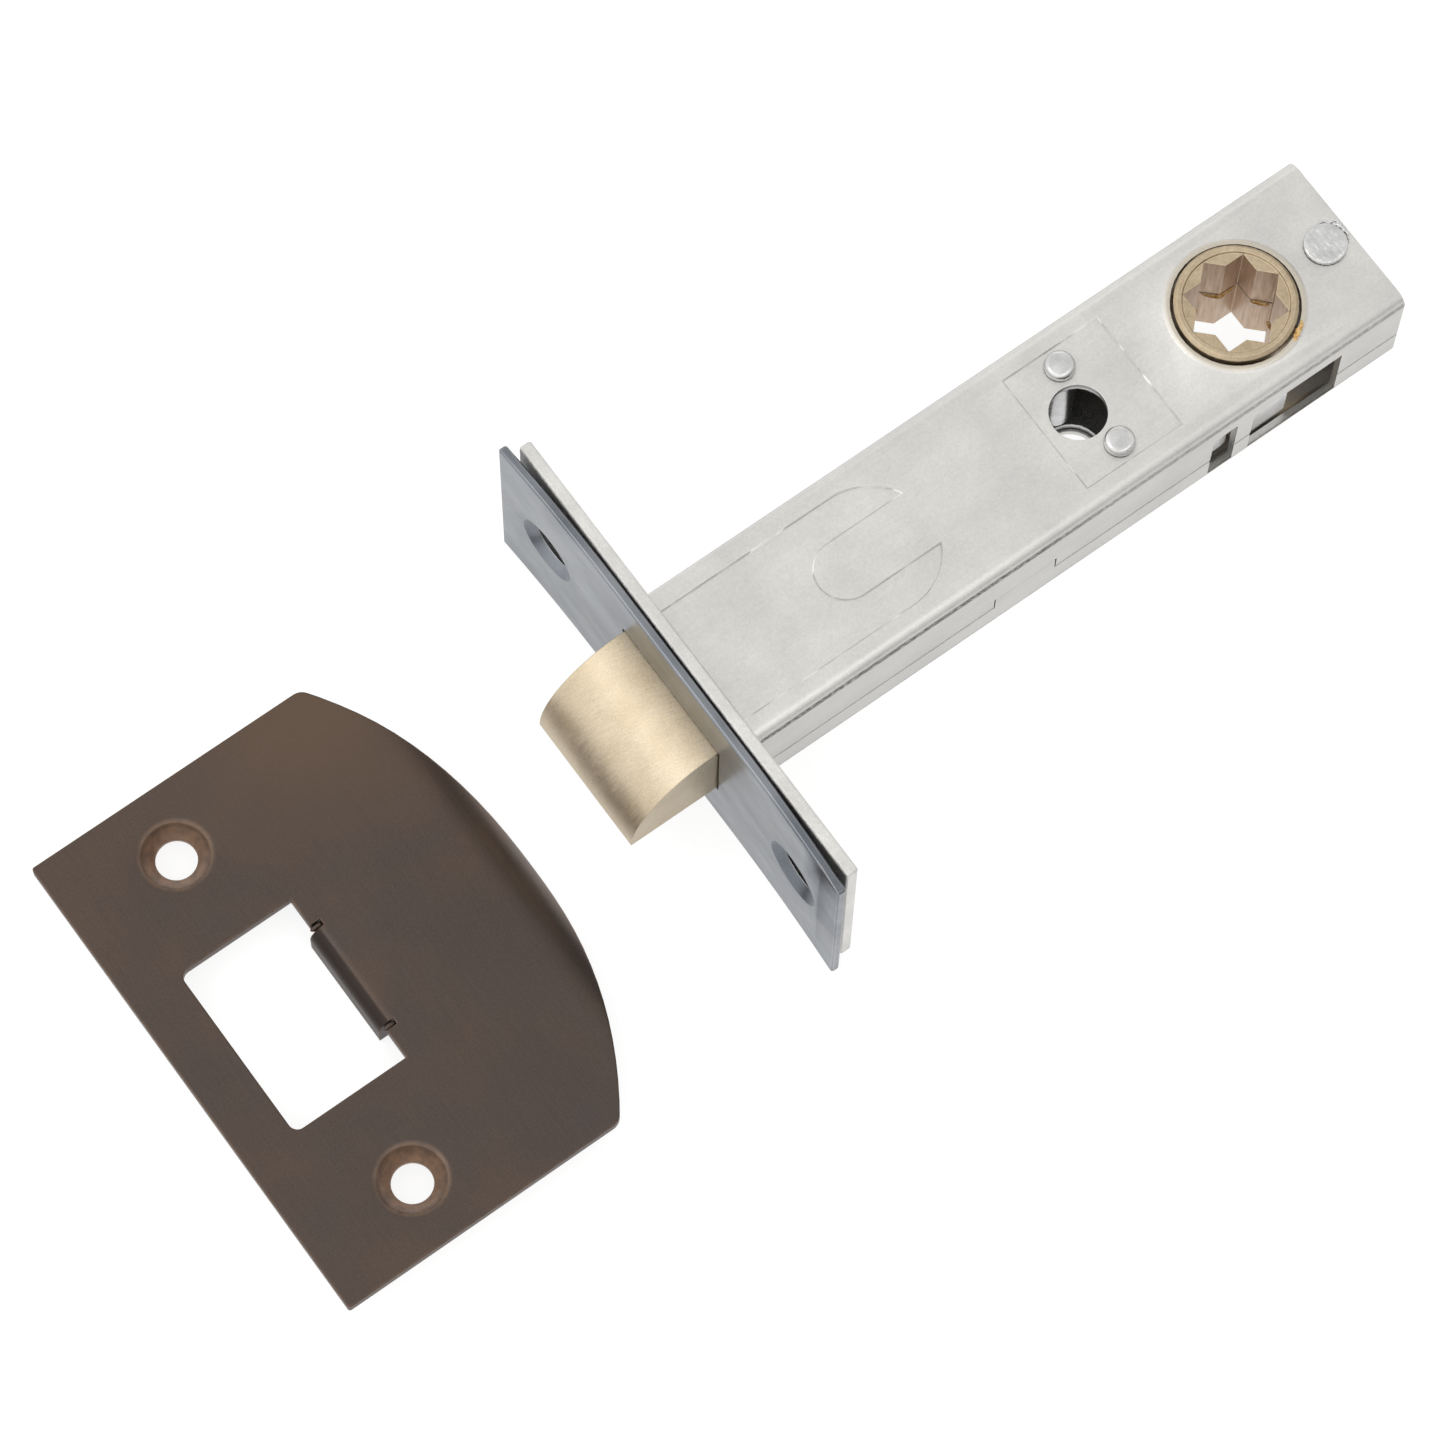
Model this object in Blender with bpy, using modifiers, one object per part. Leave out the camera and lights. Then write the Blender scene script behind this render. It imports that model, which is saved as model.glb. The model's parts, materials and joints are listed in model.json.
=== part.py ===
"""Tubular mortice latch with a D-lip strike plate.

A rectangular sheet-metal case made of two half shells holds a spring-loaded latch bolt.
A follower in two halves, turned by a square spindle, pulls a draw frame rearwards with its
lobes. The draw frame pulls the bolt back by the head of the bolt's tail rod.

Frame: X runs along the case from the forend's back face to the rear end, the bolt points to -X.
Y runs along the forend and Z through the thickness of the door. The origin is where the
bolt's axis crosses the forend's back face.
"""
import math

import bmesh
import bpy
from mathutils import Matrix, Vector

MM = 0.001

# --- driving dimensions -------------------------------------------------------------------
BACKSET = 70.0 * MM
CASE_BEHIND_FOLLOWER = 14.4 * MM
CASE_WIDTH = 19.2 * MM
CASE_THICKNESS = 13.4 * MM
CASE_SHEET = 0.8 * MM
CASE_BEND_RADIUS = 1.3 * MM
CASE_EDGE_ROUND = 0.2 * MM
SEAM_HEIGHT = -1.9 * MM

FOREND_LENGTH = 55.0 * MM
FOREND_WIDTH = 25.0 * MM
FOREND_THICKNESS = 1.4 * MM
FACE_PLATE_LENGTH = 57.0 * MM
FACE_PLATE_THICKNESS = 1.0 * MM
PLATE_EDGE_ROUND = 0.2 * MM
FACE_PLATE_BOW = 0.6 * MM
FACE_PLATE_FLAT_LENGTH = 20.0 * MM
SCREW_SPACING = 41.6 * MM
SCREW_HEAD_RADIUS = 3.85 * MM
SCREW_HOLE_RADIUS = 2.15 * MM

BOLT_SIDE_GAP = 0.9 * MM
BOLT_TOP_GAP = 0.75 * MM
BOLT_PROJECTION = 10.5 * MM
BOLT_REAR = 8.0 * MM
BOLT_EDGE_ROUND = 0.15 * MM
TRAVEL = 10.0 * MM

TAIL_RADIUS = 1.5 * MM
TAIL_HEAD_RADIUS = 2.2 * MM
TAIL_HEAD_THICKNESS = 1.2 * MM
TAIL_SOCKET_DEPTH = 5.0 * MM
TAIL_PIN_RADIUS = 0.6 * MM
TAIL_PIN_INSET = 2.8 * MM
WASHER_THICKNESS = 0.6 * MM

FRAME_SHEET = 0.8 * MM
BAR_THICKNESS = 1.2 * MM
RAIL_LOW = -3.3 * MM
HOOK_LENGTH = 5.0 * MM
HOOK_FLANGE = 1.0 * MM
HOOK_FLANGE_INSET = 0.5 * MM
HOOK_STEP = 0.15 * MM

BOLT_SPRING_WIRE = 0.25 * MM
BOLT_SPRING_TURNS = 5
BOLT_SPRING_LENGTH = 12.9 * MM
RETURN_SPRING_WIRE = 0.3 * MM
RETURN_SPRING_RADIUS = 1.75 * MM
RETURN_SPRING_TURNS = 9
RETURN_SPRING_OFFSET = 4.85 * MM

THROUGH_HOLE_TO_FOLLOWER = 19.8 * MM
THROUGH_HOLE_RADIUS = 3.0 * MM
BRACKET_BEFORE_HOLE = 4.2 * MM
BRACKET_LENGTH = 11.9 * MM
BRACKET_SHEET = 0.8 * MM
GUIDE_RIVET_BEHIND_HOLE = 1.4 * MM
GUIDE_RIVET_OFFSET = 5.0 * MM
GUIDE_RIVET_RADIUS = 1.1 * MM
GUIDE_HEAD_RADIUS = 1.6 * MM
GUIDE_HEAD_HEIGHT = 0.9 * MM
GUIDE_HEAD_ROUND = 0.55 * MM
SLEEVE_WALL = 0.5 * MM
REAR_RIVET_INSET = 3.0 * MM
REAR_RIVET_RADIUS = 1.1 * MM
REAR_HEAD_RADIUS = 2.25 * MM
REAR_HEAD_HEIGHT = 0.5 * MM
REAR_HEAD_ROUND = 0.15 * MM

SPINDLE_SQUARE = 7.65 * MM
FOLLOWER_WALL = 0.94 * MM
FOLLOWER_PROTRUSION = 1.0 * MM
FOLLOWER_CHAMFER = 0.35 * MM
FOLLOWER_RECESS_DEPTH = 0.25 * MM
FOLLOWER_RECESS_SLOPE = 0.15 * MM
LOBE_TIP_RADIUS = 0.6 * MM
LOBE_ROOT_WIDTH = 2.0 * MM
LOBE_SPLIT_Z = 0.5 * MM
LOBE_WINDOW_GAP = 0.4 * MM
RIM_WIDTH = 0.9 * MM
RIM_HEIGHT = 0.25 * MM
RIM_CROWN_WIDTH = 0.3 * MM

CAM_WINDOW_BEFORE = 4.6 * MM
CAM_WINDOW_BEHIND = 6.6 * MM
SMALL_WINDOW_BEFORE = 9.7 * MM
SMALL_WINDOW_WIDTH = 3.1 * MM
WINDOW_TOP = 3.3 * MM
STEP_BEFORE_BRACKET = 12.8 * MM
STEP_LENGTH = 7.4 * MM
STEP_HEIGHT = 2.3 * MM
STAKE_WIDTH = 3.0 * MM
UPPER_STAKE_Z = 3.2 * MM
LOWER_STAKE_Z = -4.2 * MM
STAKE_SHORT_OF_FACE = 0.3 * MM

PANEL_DEPTH = 0.15 * MM
LONG_PANEL_BEFORE_BRACKET = 14.6 * MM
LONG_PANEL_HALF_WIDTH = 7.0 * MM
LONG_PANEL_END_RADIUS = 6.9 * MM
TONGUE_LENGTH = 13.3 * MM
TONGUE_HALF_WIDTH = 3.25 * MM
TONGUE_END_RADIUS = 3.2 * MM

STRIKE_LENGTH = 55.5 * MM
STRIKE_FLAT_WIDTH = 32.5 * MM
STRIKE_LIP_RISE = 9.0 * MM
STRIKE_SHEET = 1.3 * MM
STRIKE_BEND_WIDTH = 5.5 * MM
STRIKE_BEND_RADIUS = 5.7 * MM
STRIKE_BACK_CORNER = 0.3 * MM
STRIKE_LIP_CORNER = 1.5 * MM
STRIKE_HOLE_INSET = 5.8 * MM
STRIKE_HOLE_WIDTH = 13.4 * MM
STRIKE_HOLE_LENGTH = 20.2 * MM
STRIKE_HOLE_CORNER = 1.0 * MM
STRIKE_SCREW_SPACING = 41.2 * MM
STRIKE_HEAD_RADIUS = 3.4 * MM
STRIKE_SCREW_RADIUS = 2.15 * MM
STRIKE_SINK_DEPTH = 1.6 * MM
STRIKE_SINK_MOUTH_WIDTH = 0.8 * MM
STRIKE_SINK_MOUTH_DEPTH = 0.35 * MM
STRIKE_DIMPLE_DEPTH = 0.8 * MM
TAB_LENGTH = 12.0 * MM
TAB_DEPTH = 4.4 * MM
TAB_BEND_RADIUS = 1.9 * MM
TAB_OVERHANG = 0.55 * MM
TAB_NOTCH_WIDTH = 0.7 * MM
TAB_NOTCH_DEPTH = 1.2 * MM
STRIKE_BACK_X = -62.6 * MM
STRIKE_CENTRE_Y = -2.0 * MM

# --- clearances ---------------------------------------------------------------------------
FIT_GAP = 0.3 * MM
RUNNING_GAP = 0.6 * MM
LOBE_RUNNING_GAP = 1.2 * MM
SEAM_GAP = 0.2 * MM
PLATE_GAP = 0.2 * MM
HEAD_GAP = 0.15 * MM
CUT_MARGIN = 1.0 * MM
EMBED = 0.3 * MM
LOBE_EMBED = 0.6 * MM
RIM_FOOT = 0.05 * MM
MERGE = 0.000001

ROUND_SIDES = 40
SMALL_SIDES = 24
BEND_STEPS = 3
END_STEPS = 2
TIP_STEPS = 6
NOSE_STEPS = 18
LIP_STEPS = 14
BOW_STEPS = 6
COIL_STEPS = 10
FILLET_STEP = math.radians(13.0)
SHARP_EDGE = math.radians(40.0)
STAR_SHARP_EDGE = math.radians(30.0)
STRIKE_SHARP_EDGE = math.radians(50.0)

# --- sizes that follow from the driving dimensions ----------------------------------------
FACE_BACK_X = -FOREND_THICKNESS - PLATE_GAP
FACE_FRONT_X = FACE_BACK_X - FACE_PLATE_THICKNESS
FOLLOWER_X = FACE_FRONT_X + BACKSET
CASE_LENGTH = FOLLOWER_X + CASE_BEHIND_FOLLOWER
HALF_CASE_WIDTH = CASE_WIDTH / 2
HALF_CASE_THICKNESS = CASE_THICKNESS / 2
INNER_Y = HALF_CASE_WIDTH - CASE_SHEET
INNER_Z = HALF_CASE_THICKNESS - CASE_SHEET
FOLLOWER_RADIUS = SPINDLE_SQUARE / math.sqrt(2) + FOLLOWER_WALL
FOLLOWER_HOLE_RADIUS = FOLLOWER_RADIUS + FIT_GAP
FOLLOWER_RECESS_RADIUS = SPINDLE_SQUARE / math.sqrt(2) + FOLLOWER_RECESS_SLOPE

BOLT_WIDTH = 2 * (INNER_Y - BOLT_SIDE_GAP)
BOLT_THICKNESS = 2 * (INNER_Z - BOLT_TOP_GAP)
BOLT_TIP_X = FACE_FRONT_X - BOLT_PROJECTION
BAR_X = BOLT_REAR + BOLT_SPRING_LENGTH + 2 * FIT_GAP
BAR_REAR_X = BAR_X + BAR_THICKNESS
WASHER_X = BAR_REAR_X + FIT_GAP
TAIL_HEAD_X = WASHER_X + WASHER_THICKNESS + FIT_GAP
TAIL_HOLE_RADIUS = TAIL_RADIUS + FIT_GAP

RAIL_OUTER_Y = INNER_Y - FIT_GAP
RAIL_INNER_Y = RAIL_OUTER_Y - FRAME_SHEET
RAIL_TOP = INNER_Z - FIT_GAP
HOOK_LOW = -RAIL_TOP
THROUGH_HOLE_X = FOLLOWER_X - THROUGH_HOLE_TO_FOLLOWER
GUIDE_RIVET_X = THROUGH_HOLE_X + GUIDE_RIVET_BEHIND_HOLE
REAR_RIVET_X = CASE_LENGTH - REAR_RIVET_INSET
BRACKET_FRONT = THROUGH_HOLE_X - BRACKET_BEFORE_HOLE
BRACKET_HALF_WIDTH = RAIL_INNER_Y - RUNNING_GAP
RETURN_SPRING_LENGTH = BRACKET_FRONT - BAR_REAR_X - 2 * FIT_GAP

LOBE_PITCH_RADIUS = HALF_CASE_WIDTH - FIT_GAP - LOBE_TIP_RADIUS
LOBE_ANGLE = math.pi / 2 + math.asin(TRAVEL / 2 / LOBE_PITCH_RADIUS)
LOBE_TIP_X = FOLLOWER_X + LOBE_PITCH_RADIUS * math.cos(LOBE_ANGLE)
HOOK_X = LOBE_TIP_X + LOBE_TIP_RADIUS + FIT_GAP
RAIL_END_X = LOBE_TIP_X - LOBE_TIP_RADIUS - LOBE_RUNNING_GAP
WINDOW_BOTTOM = -RAIL_TOP
UPPER_LOBE_Z = (LOBE_SPLIT_Z, WINDOW_TOP - LOBE_WINDOW_GAP)
LOWER_LOBE_Z = (WINDOW_BOTTOM + LOBE_WINDOW_GAP, -LOBE_SPLIT_Z)
CAM_WINDOW_X = (FOLLOWER_X - CAM_WINDOW_BEFORE, FOLLOWER_X + CAM_WINDOW_BEHIND)
SMALL_WINDOW_START = FOLLOWER_X - SMALL_WINDOW_BEFORE
SMALL_WINDOW_X = (SMALL_WINDOW_START, SMALL_WINDOW_START + SMALL_WINDOW_WIDTH)
STEP_START = BRACKET_FRONT - STEP_BEFORE_BRACKET
STEP_X = (STEP_START, STEP_START + STEP_LENGTH)
LONG_PANEL_END = BRACKET_FRONT - LONG_PANEL_BEFORE_BRACKET

STRIKE_BEND_START = STRIKE_FLAT_WIDTH + STRIKE_LIP_RISE - STRIKE_BEND_WIDTH
STRIKE_HOLE_X = (STRIKE_HOLE_INSET, STRIKE_HOLE_INSET + STRIKE_HOLE_WIDTH)
STRIKE_SCREW_INSET = (STRIKE_HOLE_X[0] + STRIKE_HOLE_X[1]) / 2
STRIKE_BOTTOM_Z = -FOREND_WIDTH / 2


# --- collections, materials and modifiers -------------------------------------------------
def clear_scene():
    for obj in list(bpy.data.objects):
        bpy.data.objects.remove(obj, do_unlink=True)


def make_collection(name):
    collection = bpy.data.collections.new(name)
    bpy.context.scene.collection.children.link(collection)
    return collection


def make_material(name, colour, roughness, metallic):
    material = bpy.data.materials.new(name)
    material.use_nodes = True
    shader = material.node_tree.nodes["Principled BSDF"]
    shader.inputs["Base Color"].default_value = (*colour, 1.0)
    shader.inputs["Roughness"].default_value = roughness
    shader.inputs["Metallic"].default_value = metallic
    return material


def add_object(name, mesh, location=(0.0, 0.0, 0.0)):
    obj = bpy.data.objects.new(name, mesh)
    obj.location = location
    CUTTERS.objects.link(obj)
    obj.hide_render = True
    obj.display_type = "WIRE"
    return obj


def finish_part(obj, material):
    """Move a piece from the cutters to the parts and give it its material."""
    CUTTERS.objects.unlink(obj)
    PARTS.objects.link(obj)
    obj.hide_render = False
    obj.display_type = "TEXTURED"
    obj.data.materials.clear()
    obj.data.materials.append(material)
    return obj


def smooth(obj, sharp_edge=SHARP_EDGE):
    obj.data.shade_smooth()
    obj.data.set_sharp_from_angle(angle=sharp_edge)
    return obj


def boolean(obj, other, operation):
    modifier = obj.modifiers.new(other.name, "BOOLEAN")
    modifier.operation = operation
    modifier.object = other
    modifier.solver = "EXACT"


def cut(obj, *cutters):
    for cutter in cutters:
        boolean(obj, cutter, "DIFFERENCE")


def join(obj, *others):
    for other in others:
        boolean(obj, other, "UNION")


def round_edges(obj, width, segments=1):
    modifier = obj.modifiers.new("rounded_edges", "BEVEL")
    modifier.width = width
    modifier.segments = segments
    modifier.limit_method = "ANGLE"
    modifier.angle_limit = SHARP_EDGE


# --- shapes -------------------------------------------------------------------------------
def box(name, low, high):
    """A box between two corners."""
    low, high = Vector(low), Vector(high)
    size = high - low
    work = bmesh.new()
    matrix = Matrix.Translation((low + high) / 2) @ Matrix.Diagonal((*size, 1.0))
    bmesh.ops.create_cube(work, size=1.0, matrix=matrix)
    return mesh_object(name, work)


def mesh_object(name, work, location=(0.0, 0.0, 0.0)):
    mesh = bpy.data.meshes.new(name)
    work.to_mesh(mesh)
    work.free()
    return add_object(name, mesh, location)


def cylinder(name, radius, low, high, centre=(0.0, 0.0), axis="Z", end_radius=None,
             sides=SMALL_SIDES):
    """A cylinder or cone along an axis, from low to high, centred on the other two axes."""
    last = radius if end_radius is None else end_radius
    work = bmesh.new()
    half_step = Matrix.Rotation(math.pi / sides, 4, "Z")
    bmesh.ops.create_cone(work, cap_ends=True, segments=sides, radius1=radius, radius2=last,
                          depth=high - low, matrix=half_step)
    middle = (low + high) / 2
    if axis == "Z":
        matrix = Matrix.Translation((centre[0], centre[1], middle))
    else:
        matrix = Matrix.Translation((middle, centre[0], centre[1])) @ Matrix.Rotation(
            math.pi / 2, 4, "Y")
    bmesh.ops.transform(work, matrix=matrix, verts=work.verts)
    return mesh_object(name, work)


def turned(name, profile, location=(0.0, 0.0, 0.0), along_x=False, sides=SMALL_SIDES, closed=False):
    """A turned body: profile is (radius, height) points down its outer side."""
    work = bmesh.new()
    verts = [work.verts.new((radius, 0.0, height)) for radius, height in profile]
    for first, second in zip(verts, verts[1:]):
        work.edges.new((first, second))
    if closed:
        work.edges.new((verts[-1], verts[0]))
    obj = mesh_object(name, work, location)
    if along_x:
        obj.rotation_euler = (0.0, math.pi / 2, 0.0)
    screw = obj.modifiers.new("turned", "SCREW")
    screw.axis = "Z"
    screw.steps = sides
    screw.render_steps = sides
    screw.use_merge_vertices = True
    screw.merge_threshold = MERGE
    return obj


def curve_to_mesh(curve_object):
    """Turn a curve object into a closed mesh object of the same name and place."""
    bpy.context.view_layer.update()
    depsgraph = bpy.context.evaluated_depsgraph_get()
    mesh = bpy.data.meshes.new_from_object(curve_object.evaluated_get(depsgraph))
    work = bmesh.new()
    work.from_mesh(mesh)
    bmesh.ops.remove_doubles(work, verts=work.verts, dist=MERGE)
    work.to_mesh(mesh)
    work.free()
    matrix = curve_object.matrix_world.copy()
    name = curve_object.name
    curve = curve_object.data
    bpy.data.objects.remove(curve_object, do_unlink=True)
    bpy.data.curves.remove(curve)
    obj = add_object(name, mesh)
    obj.name = name
    obj.matrix_world = matrix
    return obj


def flat_solid(name, outline, low, high, plane="XY"):
    """Extrude a closed outline through the third axis, from low to high."""
    curve = bpy.data.curves.new(name, "CURVE")
    curve.dimensions = "2D"
    curve.fill_mode = "BOTH"
    curve.extrude = (high - low) / 2
    spline = curve.splines.new("POLY")
    spline.points.add(len(outline) - 1)
    for point, (first, second) in zip(spline.points, outline):
        point.co = (first, second, 0.0, 1.0)
    spline.use_cyclic_u = True
    obj = add_object(name, curve)
    middle = (low + high) / 2
    if plane == "XZ":
        obj.matrix_world = Matrix.Translation((0.0, middle, 0.0)) @ Matrix.Rotation(
            math.pi / 2, 4, "X")
    else:
        obj.matrix_world = Matrix.Translation((0.0, 0.0, middle))
    return curve_to_mesh(obj)


def fillet(corners):
    """Round the corners (x, y, radius) of an outline. A radius of 0 keeps the corner sharp."""
    outline = []
    count = len(corners)
    for index, (x, y, radius) in enumerate(corners):
        here = Vector((x, y))
        if radius == 0:
            outline.append((x, y))
            continue
        before = Vector(corners[index - 1][:2]) - here
        after = Vector(corners[(index + 1) % count][:2]) - here
        before.normalize()
        after.normalize()
        half = before.angle(after) / 2
        centre = here + (before + after).normalized() * (radius / math.sin(half))
        start = here + before * (radius / math.tan(half)) - centre
        sweep = start.angle_signed(here + after * (radius / math.tan(half)) - centre)
        steps = max(BEND_STEPS, round(abs(sweep) / FILLET_STEP))
        for step in range(steps + 1):
            turn = Matrix.Rotation(-sweep * step / steps, 2)
            outline.append(tuple(centre + turn @ start))
    return outline


def coil(name, mean_radius, wire_radius, start, length, turns, centre=(0.0, 0.0)):
    """A compression spring along X, from start, with its wire ends inside that length."""
    count = turns * COIL_STEPS
    curve = bpy.data.curves.new(name, "CURVE")
    curve.dimensions = "3D"
    curve.bevel_depth = wire_radius
    curve.bevel_resolution = 2
    curve.use_fill_caps = True
    spline = curve.splines.new("POLY")
    spline.points.add(count)
    pitch_length = length - 2 * wire_radius
    for step, point in enumerate(spline.points):
        angle = 2 * math.pi * step / COIL_STEPS
        x = start + wire_radius + pitch_length * step / count
        y = centre[0] + mean_radius * math.cos(angle)
        z = centre[1] + mean_radius * math.sin(angle)
        point.co = (x, y, z, 1.0)
    obj = add_object(name, curve)
    return smooth(curve_to_mesh(obj))


# --- case ---------------------------------------------------------------------------------
def half_shell(name, side):
    """One half shell, open at the seam and the front. side is +1 for the upper, -1 for the lower."""
    seam_edge = SEAM_HEIGHT + side * SEAM_GAP / 2
    open_edge = seam_edge if side > 0 else seam_edge + STEP_HEIGHT
    outer = side * HALF_CASE_THICKNESS
    front = -FOREND_THICKNESS + STAKE_SHORT_OF_FACE
    size = Vector((CASE_LENGTH - front, CASE_WIDTH, abs(outer - open_edge)))
    centre = Vector(((CASE_LENGTH + front) / 2, 0.0, (outer + open_edge) / 2))
    work = bmesh.new()
    matrix = Matrix.Translation(centre) @ Matrix.Diagonal((*size, 1.0))
    bmesh.ops.create_cube(work, size=1.0, matrix=matrix)
    open_faces = [face for face in work.faces
                  if face.normal.x < -0.5 or face.normal.z * side < -0.5]
    bmesh.ops.delete(work, geom=open_faces, context="FACES")
    long_bends = [edge for edge in work.edges if len(edge.link_faces) == 2
                  and abs(edge.verts[0].co.x - edge.verts[1].co.x) > CASE_SHEET]
    bmesh.ops.bevel(work, geom=long_bends, offset=CASE_BEND_RADIUS, segments=BEND_STEPS,
                    profile=0.5, affect="EDGES")
    shell = mesh_object(name, work)
    solidify = shell.modifiers.new("sheet", "SOLIDIFY")
    solidify.thickness = CASE_SHEET
    solidify.offset = -1.0
    solidify.use_even_offset = True
    round_edges(shell, CASE_EDGE_ROUND, segments=END_STEPS)
    return smooth(shell)


def across(name, x_range, z_range, half_width=HALF_CASE_WIDTH + CUT_MARGIN):
    return box(name, (x_range[0], -half_width, z_range[0]), (x_range[1], half_width, z_range[1]))


def cut_front_tabs(shell, prefix, stake_z):
    """Trim the front edge back to the forend, but leave one staking tab on each side wall."""
    front = (-FOREND_THICKNESS - CUT_MARGIN, FIT_GAP)
    far = HALF_CASE_THICKNESS + CUT_MARGIN
    cut(shell,
        across(prefix + "_front_trim_top", front, (stake_z + STAKE_WIDTH / 2, far)),
        across(prefix + "_front_trim_bottom", front, (-far, stake_z - STAKE_WIDTH / 2)))


def cut_windows(shell, prefix, z_range):
    cut(shell,
        across(prefix + "_cam_window", CAM_WINDOW_X, z_range),
        across(prefix + "_small_window", SMALL_WINDOW_X, z_range))


def raise_hub_rim(shell, prefix, side):
    """A soft pressed rim round the follower hole."""
    top = HALF_CASE_THICKNESS
    outer = FOLLOWER_HOLE_RADIUS + RIM_WIDTH
    crown = FOLLOWER_HOLE_RADIUS + RIM_CROWN_WIDTH
    base = top - RIM_FOOT
    profile = [(0.0, top + RIM_HEIGHT)]
    for step in range(TIP_STEPS + 1):
        turn = math.pi * step / TIP_STEPS
        fall = (1 - math.cos(turn)) / 2
        profile.append((crown + (outer - crown) * step / TIP_STEPS,
                        top + RIM_HEIGHT - (RIM_HEIGHT + RIM_FOOT) * fall))
    profile += [(outer, base - EMBED), (0.0, base - EMBED)]
    rim = turned(prefix + "_rim", profile, location=(FOLLOWER_X, 0.0, 0.0), sides=ROUND_SIDES)
    if side < 0:
        rim.rotation_euler = (math.pi, 0.0, 0.0)
    join(shell, rim)


def cut_round_holes(shell, prefix, side):
    low, high = sorted((side * (INNER_Z - CUT_MARGIN), side * (HALF_CASE_THICKNESS + CUT_MARGIN)))
    holes = [("follower", FOLLOWER_HOLE_RADIUS, FOLLOWER_X, 0.0, ROUND_SIDES),
             ("through", THROUGH_HOLE_RADIUS, THROUGH_HOLE_X, 0.0, ROUND_SIDES),
             ("guide_a", GUIDE_RIVET_RADIUS + FIT_GAP, GUIDE_RIVET_X, GUIDE_RIVET_OFFSET, SMALL_SIDES),
             ("guide_b", GUIDE_RIVET_RADIUS + FIT_GAP, GUIDE_RIVET_X, -GUIDE_RIVET_OFFSET, SMALL_SIDES),
             ("rear", REAR_RIVET_RADIUS + FIT_GAP, REAR_RIVET_X, 0.0, SMALL_SIDES)]
    for hole, radius, x, y, sides in holes:
        cut(shell, cylinder(f"{prefix}_{hole}_hole", radius, low, high, centre=(x, y), sides=sides))


def press_panels(shell, prefix, side):
    """Shallow pressed panels: one over the bracket, one from the forend with a raised tongue in it."""
    near, far = HALF_CASE_THICKNESS - PANEL_DEPTH, HALF_CASE_THICKNESS + CUT_MARGIN
    low, high = sorted((side * near, side * far))
    bracket_panel = box(prefix + "_bracket_panel",
                        (BRACKET_FRONT, -BRACKET_HALF_WIDTH, low),
                        (BRACKET_FRONT + BRACKET_LENGTH, BRACKET_HALF_WIDTH, high))
    end, half = LONG_PANEL_END, LONG_PANEL_HALF_WIDTH
    outline = fillet([(-CUT_MARGIN, -half, 0), (end, -half, LONG_PANEL_END_RADIUS),
                      (end, half, LONG_PANEL_END_RADIUS), (-CUT_MARGIN, half, 0)])
    long_panel = flat_solid(prefix + "_long_panel", outline, low, high)
    nose, half = end - TONGUE_LENGTH, TONGUE_HALF_WIDTH
    outline = fillet([(nose, -half, TONGUE_END_RADIUS), (end + CUT_MARGIN, -half, 0),
                      (end + CUT_MARGIN, half, 0), (nose, half, TONGUE_END_RADIUS)])
    tongue = flat_solid(prefix + "_tongue", outline, low - CUT_MARGIN, high + CUT_MARGIN)
    cut(long_panel, tongue)
    cut(shell, bracket_panel, long_panel)


def make_case():
    beyond_seam = SEAM_HEIGHT + STEP_HEIGHT + CUT_MARGIN
    upper = half_shell("case_upper_shell", 1)
    cut_front_tabs(upper, "upper", UPPER_STAKE_Z)
    notch = (STEP_X[0] - SEAM_GAP, STEP_X[1] + SEAM_GAP)
    cut(upper, across("upper_step_notch", notch,
                      (SEAM_HEIGHT - CUT_MARGIN, SEAM_HEIGHT + STEP_HEIGHT + SEAM_GAP / 2)))
    cut_windows(upper, "upper", (SEAM_HEIGHT - CUT_MARGIN, WINDOW_TOP))
    raise_hub_rim(upper, "upper", 1)
    cut_round_holes(upper, "upper", 1)
    press_panels(upper, "upper", 1)
    finish_part(upper, ZINC)

    lower = half_shell("case_lower_shell", -1)
    seam = (SEAM_HEIGHT - SEAM_GAP / 2, beyond_seam)
    cut(lower,
        across("lower_seam_front", (-FOREND_THICKNESS - CUT_MARGIN, STEP_X[0]), seam),
        across("lower_seam_rear", (STEP_X[1], CASE_LENGTH + CUT_MARGIN), seam))
    cut_front_tabs(lower, "lower", LOWER_STAKE_Z)
    cut_windows(lower, "lower", (WINDOW_BOTTOM, beyond_seam))
    raise_hub_rim(lower, "lower", -1)
    cut_round_holes(lower, "lower", -1)
    finish_part(lower, ZINC)


# --- forend -------------------------------------------------------------------------------
def screw_hole(name, y):
    """A countersunk hole through both plates, narrowing from the face towards the door."""
    rise = abs(y) - FACE_PLATE_FLAT_LENGTH / 2
    bow = FACE_PLATE_BOW * (rise / (FACE_PLATE_LENGTH / 2 - FACE_PLATE_FLAT_LENGTH / 2)) ** 2
    face = FACE_FRONT_X - bow
    cone_end = face + SCREW_HEAD_RADIUS - SCREW_HOLE_RADIUS
    mouth = face - CUT_MARGIN
    profile = [(0.0, CUT_MARGIN), (SCREW_HOLE_RADIUS, CUT_MARGIN), (SCREW_HOLE_RADIUS, cone_end),
               (SCREW_HEAD_RADIUS + CUT_MARGIN, mouth), (0.0, mouth)]
    return turned(name, profile, location=(0.0, y, 0.0), along_x=True, sides=ROUND_SIDES)


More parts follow.
